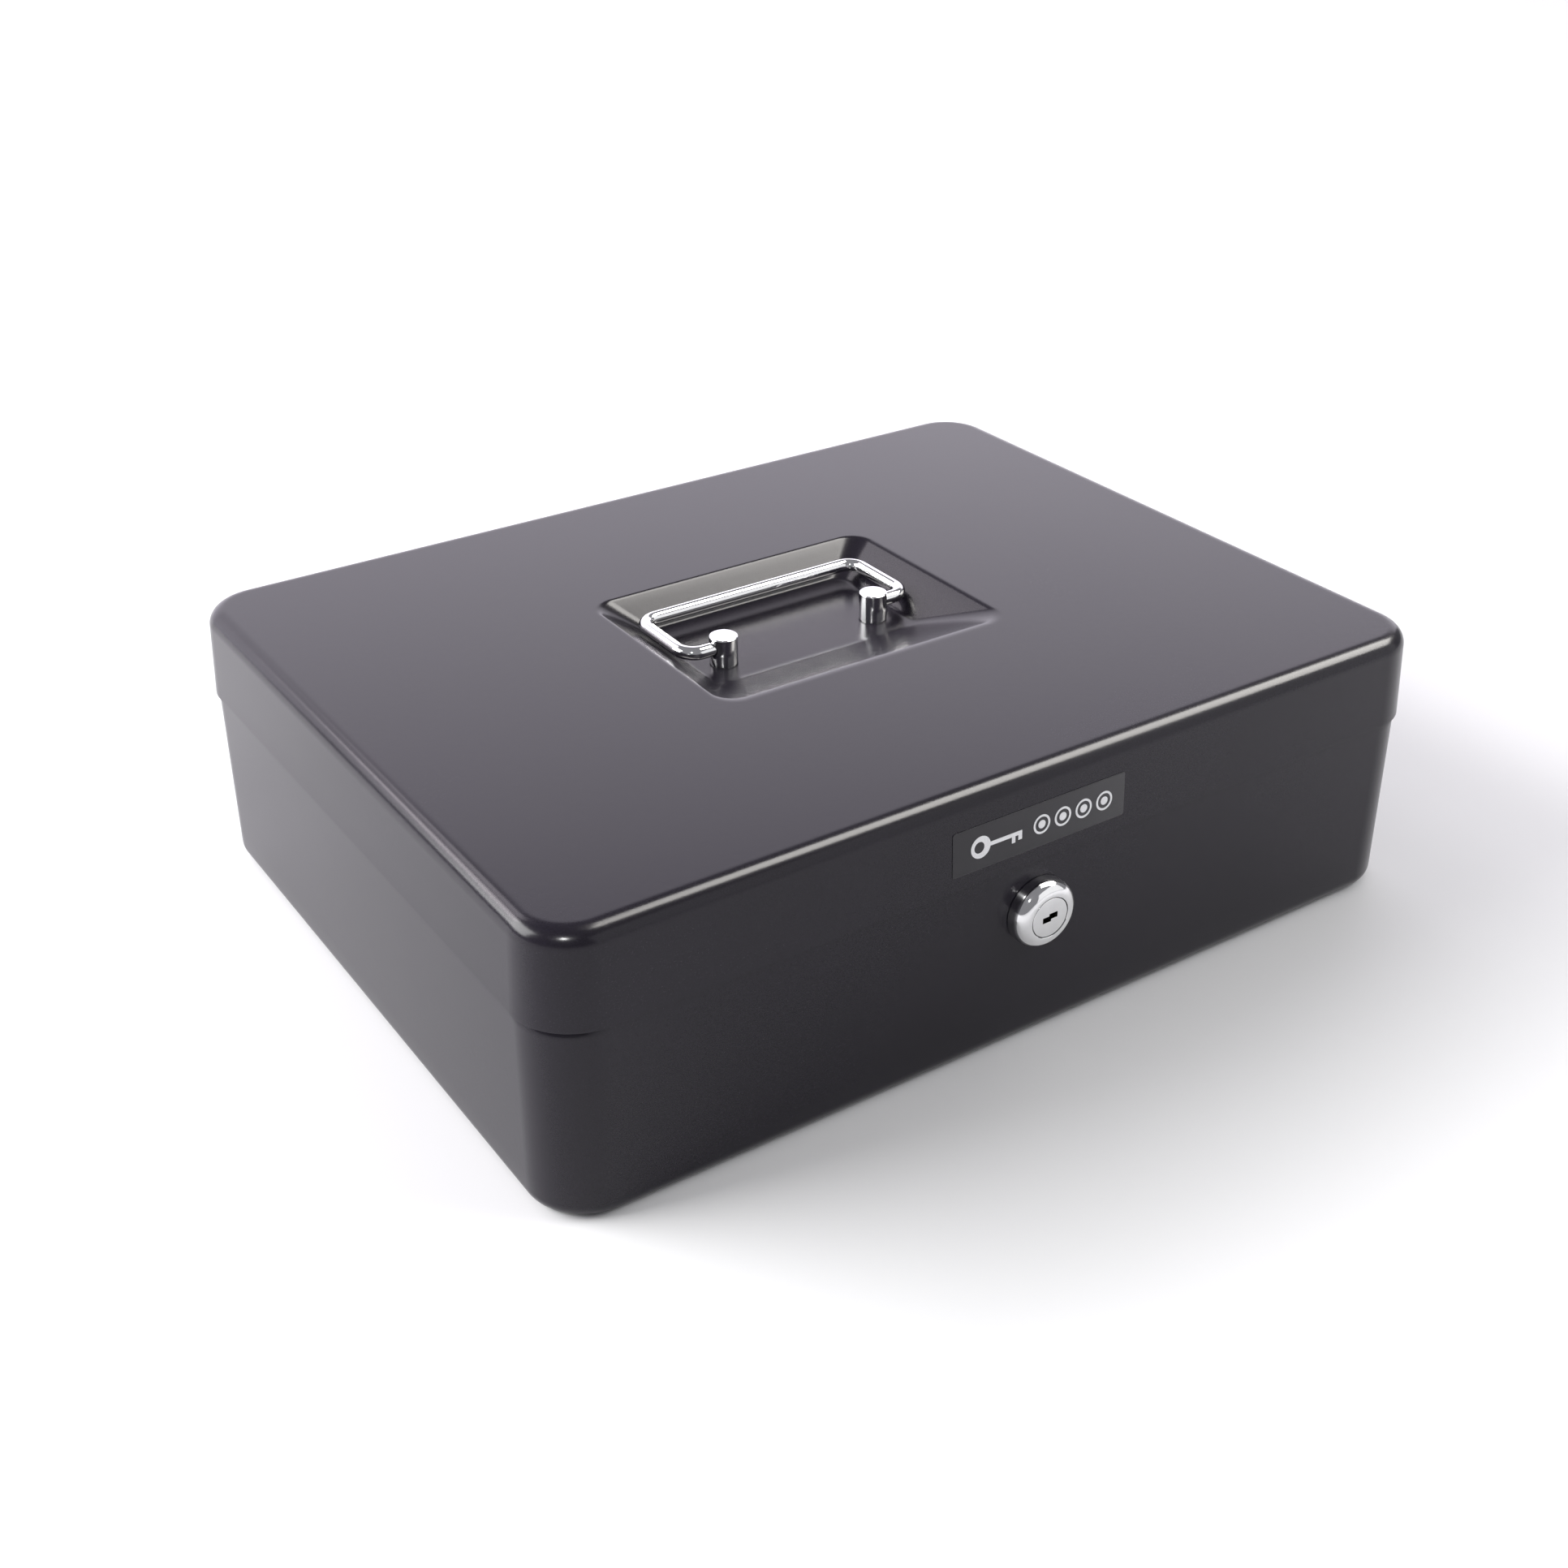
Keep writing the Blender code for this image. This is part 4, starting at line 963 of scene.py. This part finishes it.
lock_washer("nut_washer", "lock_washer", "base", BARREL + 0.1 * MM, 80)
make_nut()
make_cam()
make_cam_screw(lock_washer("small_washer", "cam_washer", "plug", 1.7 * MM, 56))


# ---------------------------------------------------------------- label

def make_label():
    """Thin foil panel that lies on the leaning skirt, with a plain key device."""
    low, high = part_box("front_label")
    lean = math.atan2(LID_DRAFT, TOP - LID_EDGE - SEAM)
    centre_x = (low.x + high.x) / 2
    centre_z = (low.z + high.z) / 2
    half_x = (high.x - low.x) / 2
    half_z = (high.z - low.z) / 2 / math.cos(lean)
    skin = -HALF_Y + LID_DRAFT * (centre_z - SEAM) / (TOP - LID_EDGE - SEAM)
    seat = place(centre_x, skin, centre_z) @ Matrix.Rotation(math.radians(90) - lean, 4, "X")
    outline = rounded_rectangle(-half_x, half_x, -half_z, half_z, 0.8 * MM, 6)
    bed = seat @ Matrix.Translation((0, 0, 0.09 * MM))
    panel = plate("label_panel", [outline], 0.14 * MM, 0.03 * MM, bed)
    piece("label_panel", panel, "label_foil", "lid", ["front_label"])

    thick = 0.05 * MM
    lift = seat @ Matrix.Translation((0, 0, 0.185 * MM))
    shapes = []

    def add(outlines):
        shapes.append(plate("mark", outlines, thick, 0.0, lift))

    # key lying on its side: bow, stem and bit
    bow = -20.6 * MM
    add([circle(bow, 0, 3.3 * MM, 48), circle(bow - 0.5 * MM, 0, 1.7 * MM, 36)])
    stem = [
        (bow + 3.2 * MM, -0.6 * MM), (bow + 10.6 * MM, -0.6 * MM), (bow + 10.6 * MM, -2.5 * MM),
        (bow + 11.8 * MM, -2.5 * MM), (bow + 11.8 * MM, -0.6 * MM), (bow + 12.8 * MM, -0.6 * MM),
        (bow + 12.8 * MM, -2.1 * MM), (bow + 14.1 * MM, -2.1 * MM), (bow + 14.1 * MM, 0.6 * MM),
        (bow + 3.2 * MM, 0.6 * MM),
    ]
    add([stem])
    # row of plain coins, each a ring round a dot
    for k in range(4):
        x = 0.4 * MM + k * 7.4 * MM
        add([circle(x, 0, 2.9 * MM, 48), circle(x, 0, 2.25 * MM, 40)])
        add([circle(x, 0, 1.25 * MM, 30)])
    mesh = join("label_mark", shapes)
    piece("label_mark", mesh, "label_foil", "lid", material=MARK)


make_label()


# ---------------------------------------------------------------- catch and ledges

def make_catch():
    """Bent steel hook under the lid's front edge."""
    low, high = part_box("lid_catch")
    arm_x = low.x
    thick = 1.6 * MM
    toe_top = LOCK_Z - 5.6 * MM
    toe_low = low.z
    rear = LOCK_Y + 18.0 * MM - 5.0 * MM
    front = rear - 8.0 * MM
    foot = RIM_TOP + 3.8 * MM
    outline = [
        (low.y, high.z),
        (low.y, foot),
        (front, foot),
        (front, toe_low),
        (high.y, toe_low),
        (high.y, toe_top),
        (rear, toe_top),
        (rear, high.z),
    ]
    radii = [0.8 * MM, 0.8 * MM, 1.5 * MM, 1.5 * MM, 1.2 * MM, 0.8 * MM, 1.0 * MM, 1.5 * MM]
    turn = Matrix.Translation((arm_x + thick / 2, 0, 0)) @ SIDE_VIEW
    arm = plate("arm", [fillet(outline, radii, True, 5)], thick, 0.2 * MM, turn)
    flange = box(
        "flange", (arm_x + 0.2 * MM, low.y, foot), (high.x, low.y + thick, high.z), 0.25 * MM
    )
    mesh = join("catch_hook", [arm, flange])
    piece("catch_hook", mesh, "zinc_plate", "lid", ["lid_catch"])


make_catch()


def make_ledges():
    """Folded strips with a rounded bend that carry the tray."""
    for side, sign in (("left", -1), ("right", 1)):
        low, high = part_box("tray_ledge_" + side)
        wall = high.x if sign > 0 else -low.x
        inner = low.x if sign > 0 else -high.x
        t = 1.0 * MM
        outline = [
            (inner, high.z),
            (inner, high.z - t),
            (wall - t, high.z - t),
            (wall - t, low.z),
            (wall, low.z),
            (wall, high.z),
        ]
        radii = [0.2 * MM, 0.2 * MM, 0.6 * MM, 0.2 * MM, 0.2 * MM, 1.6 * MM]
        profile = fillet(outline, radii, True, 6)
        profile = [(sign * x, z) for x, z in profile]
        turn = Matrix.Rotation(math.radians(90), 4, "X")
        mesh = plate("ledge_" + side, [profile], high.y - low.y, 0.0, turn)
        piece("ledge_" + side, mesh, "zinc_plate", "base", ["tray_ledge_" + side])


make_ledges()


# ---------------------------------------------------------------- hinges

def make_rivet(row, side, end):
    """Set rivet: domed head outside, shank through the sheet, dimpled tail inside."""
    node = "hinge_rivet_%s_%s_%s" % (row, side, end)
    low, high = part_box(node)
    centre_x, centre_z = (low.x + high.x) / 2, (low.z + high.z) / 2
    radius = (high.x - low.x) / 2
    head = 0.9 * MM
    under, inner = high.y - head, low.y
    dome = [(radius * px, under + head * py) for px, py in arc(0, 0, 1.0, 90, 0, 10)]
    tail = [
        (1.2 * MM, under),
        (1.2 * MM, inner + head),
        (radius * 0.85, inner + head),
        (radius * 0.72, inner),
        (0.5 * MM, inner),
        (0, inner + 0.35 * MM),
    ]
    tail = fillet(tail, [0, 0, 0.1 * MM, 0.3 * MM, 0.1 * MM, 0], steps=3)
    mesh = revolve(node + "_set", dome + tail, 40)
    mesh.transform(place(centre_x, 0, centre_z, (-90, "X")))
    piece(node + "_set", mesh, "zinc_plate", body_of(node), [node])


def make_hinges():
    """Two butt hinges: notched leaves that interlock on a headed pin, and their rivets."""
    thick = 1.0 * MM
    room = 14 * MM
    for side in ("left", "right"):
        pin_low, pin_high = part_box("hinge_pin_" + side)
        x = (pin_low.x + pin_high.x) / 2
        y = (pin_low.y + pin_high.y) / 2
        z = (pin_low.z + pin_high.z) / 2
        low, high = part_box("hinge_leaf_lid_" + side)
        knuckle = high.y - y
        half = (high.x - low.x) / 2
        leaf = high.z - z
        lean = LID_DRAFT * leaf / (TOP - LID_EDGE - SEAM)
        centre = Matrix.Translation((x, y, z)) @ SIDE_VIEW
        eye = circle(0, 0, 1.15 * MM, 28)
        clear = knuckle + 0.45 * MM

        meet = math.degrees(math.acos((thick - knuckle) / knuckle))
        outline = arc(0, 0, knuckle, -180, meet, 30)
        outline += [(thick - knuckle - lean, leaf), (-knuckle - lean, leaf)]
        mesh = plate("lid_leaf_" + side, [outline, eye], 2 * half, 0.0, centre)
        item = piece("lid_leaf_" + side, mesh, "black_paint", "lid", ["hinge_leaf_lid_" + side])
        notch = box(
            "notch", (x - 8.4 * MM, y - room, z - room), (x + 8.4 * MM, y + room, z + clear)
        )
        cut(item, [notch])

        low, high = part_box("hinge_leaf_tub_" + side)
        drop = z - low.z
        shoulder = -knuckle - thick
        neck = SEAM + NECK_GAP
        wall = HALF_Y - TUB_INSET + TUB_FLARE * (neck - (z - drop)) / (neck - TUB_FOOT)
        wall = wall + 0.3 * MM - y
        outline = arc(0, 0, knuckle, 180, -125, 30)
        outline += [
            (wall + thick, shoulder - 0.4 * MM),
            (wall + thick, -drop),
            (wall, -drop),
            (wall, shoulder),
            (-knuckle, -thick),
        ]
        mesh = plate("tub_leaf_" + side, [outline, eye], 2 * half, 0.0, centre)
        item = piece("tub_leaf_" + side, mesh, "black_paint", "base", ["hinge_leaf_tub_" + side])
        notches = []
        for sign in (-1, 1):
            ends = sorted((x + sign * 8.0 * MM, x + sign * 40 * MM))
            notches.append(
                box("notch", (ends[0], y - room, z - clear), (ends[1], y + room, z + room))
            )
        cut(item, notches)

        reach = (pin_high.x - pin_low.x) / 2
        head = 0.8 * MM
        pin = [(0, reach), (1.2 * MM, reach), (1.7 * MM, reach - head), (1.0 * MM, reach - head)]
        pin = fillet(pin, [0, 0.5 * MM, 0.1 * MM, 0], steps=4)
        pin += [(r, -h) for r, h in reversed(pin)]
        mesh = revolve("pin_" + side, pin, 40, matrix=place(x, y, z, (90, "Y")))
        node = "hinge_pin_" + side
        piece("pin_" + side, mesh, "zinc_plate", body_of(node), [node])

        for row in ("lid", "tub"):
            for end in ("a", "b"):
                make_rivet(row, side, end)


make_hinges()


# ---------------------------------------------------------------- coin tray

def make_tray():
    """Moulded insert: rounded rims, filleted cups and bins, a rolled flange."""
    low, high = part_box("coin_tray")
    half_x, half_y = high.x, high.y
    top, bottom = high.z, low.z
    flange, wall = 1.6 * MM, 2.0 * MM
    lip_x, lip_y = 5.8 * MM, 3.0 * MM
    notch_half, notch_depth = 22.0 * MM, 25.0 * MM
    corner = 17.5 * MM
    edge = 0.7 * MM
    rim = 0.9 * MM
    under, foot = 0.4 * MM, 1.2 * MM
    cup_corner, bin_corner = 9.0 * MM, 5.0 * MM

    def plan(hx, hy, radius, room, inset=0.0):
        """The tray's outline moved in by inset, always with the same count."""
        hx, hy, r = hx - inset, hy - inset, radius - inset
        n = notch_half + room + inset
        back = notch_depth + room - half_y + inset
        bend = 4.0 * MM + inset
        mouth = 1.2 * MM
        points = arc(hx - r, hy - r, r, 0, 90, 10)
        points += arc(r - hx, hy - r, r, 90, 180, 10)
        points += arc(r - hx, r - hy, r, 180, 270, 10)
        points += arc(-n - mouth, mouth - hy, mouth, 270, 360, 5)
        points += arc(bend - n, back - bend, bend, 180, 90, 8)
        points += arc(n - bend, back - bend, bend, 90, 0, 8)
        points += arc(n + mouth, mouth - hy, mouth, 180, 270, 5)
        points += arc(hx - r, r - hy, r, 270, 360, 10)
        return points

    work = bmesh.new()

    def ring(points, z):
        return [work.verts.new((x, y, z)) for x, y in points]

    # outside: rounded flange, its underside, the body's wall and floor
    outer = []
    for x, y in arc(0, 0, edge, 90, 0, 5):
        outer.append(ring(plan(half_x, half_y, corner, 0.0, edge - x), top - edge + y))
    for x, y in arc(0, 0, under, 0, -90, 3):
        level = top - flange + under + y
        outer.append(ring(plan(half_x, half_y, corner, 0.0, under - x), level))
    body_x, body_y, body_r = half_x - lip_x, half_y - lip_y, 7.0 * MM
    outer.append(ring(plan(body_x, body_y, body_r, wall, -under), top - flange))
    outer.append(ring(plan(body_x, body_y, body_r, wall, 0.0), top - flange - under))
    for x, y in arc(0, 0, foot, 0, -90, 4):
        outer.append(ring(plan(body_x, body_y, body_r, wall, foot - x), bottom + foot + y))
    skin(work, outer)
    work.faces.new(outer[-1])

    # pockets
    left = lip_x + wall - half_x
    front = lip_y + wall - half_y
    row_rear = front + 92.0 * MM
    notch_side = notch_half + 2 * wall
    cup_width = (-left - notch_side - wall) / 2
    pockets = []
    for start in (left, left + cup_width + wall):
        pockets.append((start, start + cup_width, front, row_rear, cup_corner))
        pockets.append((-start - cup_width, -start, front, row_rear, cup_corner))
    behind_notch = notch_depth + 2 * wall - half_y
    pockets.append((wall - notch_side, notch_side - wall, behind_notch, row_rear, cup_corner))
    bin_width = (-2 * left - 2 * wall) / 3
    for number in range(3):
        start = left + number * (bin_width + wall)
        pockets.append((start, start + bin_width, row_rear + wall, -front, bin_corner))
    floor = bottom + wall
    rims = []
    for x0, x1, y0, y1, radius in pockets:

        def pocket_ring(inset, corner, z):
            left, right = x0 + inset, x1 - inset
            return ring(rounded_rectangle(left, right, y0 + inset, y1 - inset, corner, 8), z)

        loops = []
        for t in (90, 67, 45, 22, 0):
            a = math.radians(t)
            grow = 0.55 * rim * (1 - math.cos(a))
            loops.append(pocket_ring(-grow, radius + grow, top - rim * (1 - math.sin(a))))
        depth = top - rim - floor
        bend = min(radius, depth * 0.6)
        draft = 0.35 * MM
        for t in (0, 15, 30, 45, 60, 75, 90):
            a = math.radians(t)
            inset = draft + bend * (1 - math.cos(a))
            corner = max(radius - inset, 0.6 * MM)
            loops.append(pocket_ring(inset, corner, floor + bend * (1 - math.sin(a))))
        skin(work, loops)
        work.faces.new(loops[-1])
        rims.append(loops[0])

    # the flat top between the outer edge and the pockets' rims
    edges = []
    for loop in [outer[0]] + rims:
        for i in range(len(loop)):
            j = (i + 1) % len(loop)
            edges.append(work.edges.get((loop[i], loop[j])))
    bmesh.ops.triangle_fill(
        work, edges=edges, use_beauty=True, use_dissolve=False, normal=(0, 0, 1)
    )
    piece("tray_insert", to_mesh("tray_insert", work), "tray_plastic", "tray", ["coin_tray"])


make_tray()

# the wafers keep their CAD meshes, in brass
for name, node in frame["nodes"].items():
    if name.startswith("lock_wafer"):
        node.data.materials.clear()
        node.data.materials.append(BRASS)


# ---------------------------------------------------------------- studio

def make_floor():
    """Large pale floor, part of the studio only."""
    look = Look("pale_floor")
    cloud = look.noise(3.0, 3.0, 0.5)
    grain = look.noise(700.0, 2.0, 0.6)
    colour = look.ramp(cloud, [(0.3, (0.86, 0.86, 0.865)), (0.7, (0.88, 0.88, 0.885))])
    look.set(Base_Color=colour, Roughness=look.spread(grain, 0.55, 0.65))
    work = bmesh.new()
    bmesh.ops.create_grid(work, x_segments=8, y_segments=8, size=30.0)
    floor = bpy.data.objects.new("floor", to_mesh("floor", work))
    floor.data.materials.append(look.material)
    SCENE.collection.objects.link(floor)


def soft_light(name, spot, aim, width, height, radiance, tint=(1.0, 1.0, 1.0)):
    """A rectangular light at a spot, turned to its aim; the camera doesn't see it."""
    light = bpy.data.lights.new(name, "AREA")
    light.color = tint
    light.shape = "RECTANGLE"
    light.size = width
    light.size_y = height
    light.energy = radiance * width * height * math.pi
    item = bpy.data.objects.new(name, light)
    item.location = spot
    item.rotation_mode = "QUATERNION"
    item.rotation_quaternion = (Vector(aim) - Vector(spot)).to_track_quat("-Z", "Y")
    item.visible_camera = False
    SCENE.collection.objects.link(item)
    return item


def make_world():
    world = bpy.data.worlds.new("studio")
    world.use_nodes = True
    background = world.node_tree.nodes["Background"]
    background.inputs["Color"].default_value = (0.95, 0.95, 1.0, 1.0)
    background.inputs["Strength"].default_value = 0.30
    SCENE.world = world


def make_camera():
    """At the photograph's viewpoint; 36 mm sensor, whole square frame."""
    right = Vector((0.8309653, -0.5563174, -0.0027589))
    up = Vector((0.2816963, 0.4164800, 0.8644025))
    back = Vector((-0.4797331, -0.7190656, 0.5027930))
    data = bpy.data.cameras.new("camera")
    data.sensor_width = 36.0
    data.lens = 45.7523
    camera = bpy.data.objects.new("camera", data)
    turn = Matrix((right, up, back)).transposed().to_4x4()
    camera.matrix_world = Matrix.Translation((-0.312784, -0.459734, 0.350611)) @ turn
    SCENE.collection.objects.link(camera)
    SCENE.camera = camera


make_floor()
make_world()
make_camera()
SCENE.view_settings.view_transform = "Standard"
soft_light("back_wall", (1.3, 2.7, 1.0), (0.6, 0.0, 0.1), 8.0, 2.3, 1.75, (1.0, 0.95, 1.06))
soft_light("left_window", (-1.9, 1.1, 1.2), (-0.3, 0.3, 0.0), 1.8, 1.4, 12.0)
soft_light("edge_box", (-1.0, 1.5, 1.2), (-0.1, 0.0, 0.05), 0.5, 0.45, 9.0, (1.0, 0.92, 0.97))
soft_light("recess_box", (-0.4, 1.44, 1.45), (0.0, 0.0, 0.08), 0.6, 0.45, 4.5, (1.0, 0.94, 1.0))
overhead = soft_light(
    "overhead_box", (0.80, -0.22, 1.2), (0.0, 0.0, 0.08), 0.68, 1.1, 18.0, (1.0, 0.975, 0.93)
)
overhead.visible_diffuse = False
front_wall = soft_light("front_wall", (1.4, -1.9, 0.95), (0.0, 0.0, 0.1), 3.0, 1.9, 0.85)
front_wall.visible_diffuse = False
lamp = soft_light("camera_lamp", (-0.50, -0.52, 0.62), (-0.15, -0.1, 0.08), 0.05, 0.05, 420.0)
lamp.visible_diffuse = False
fill = soft_light("floor_fill", (1.4, -1.0, 1.3), (0.6, -0.5, 0.0), 1.0, 1.0, 6.0)
fill.visible_glossy = False
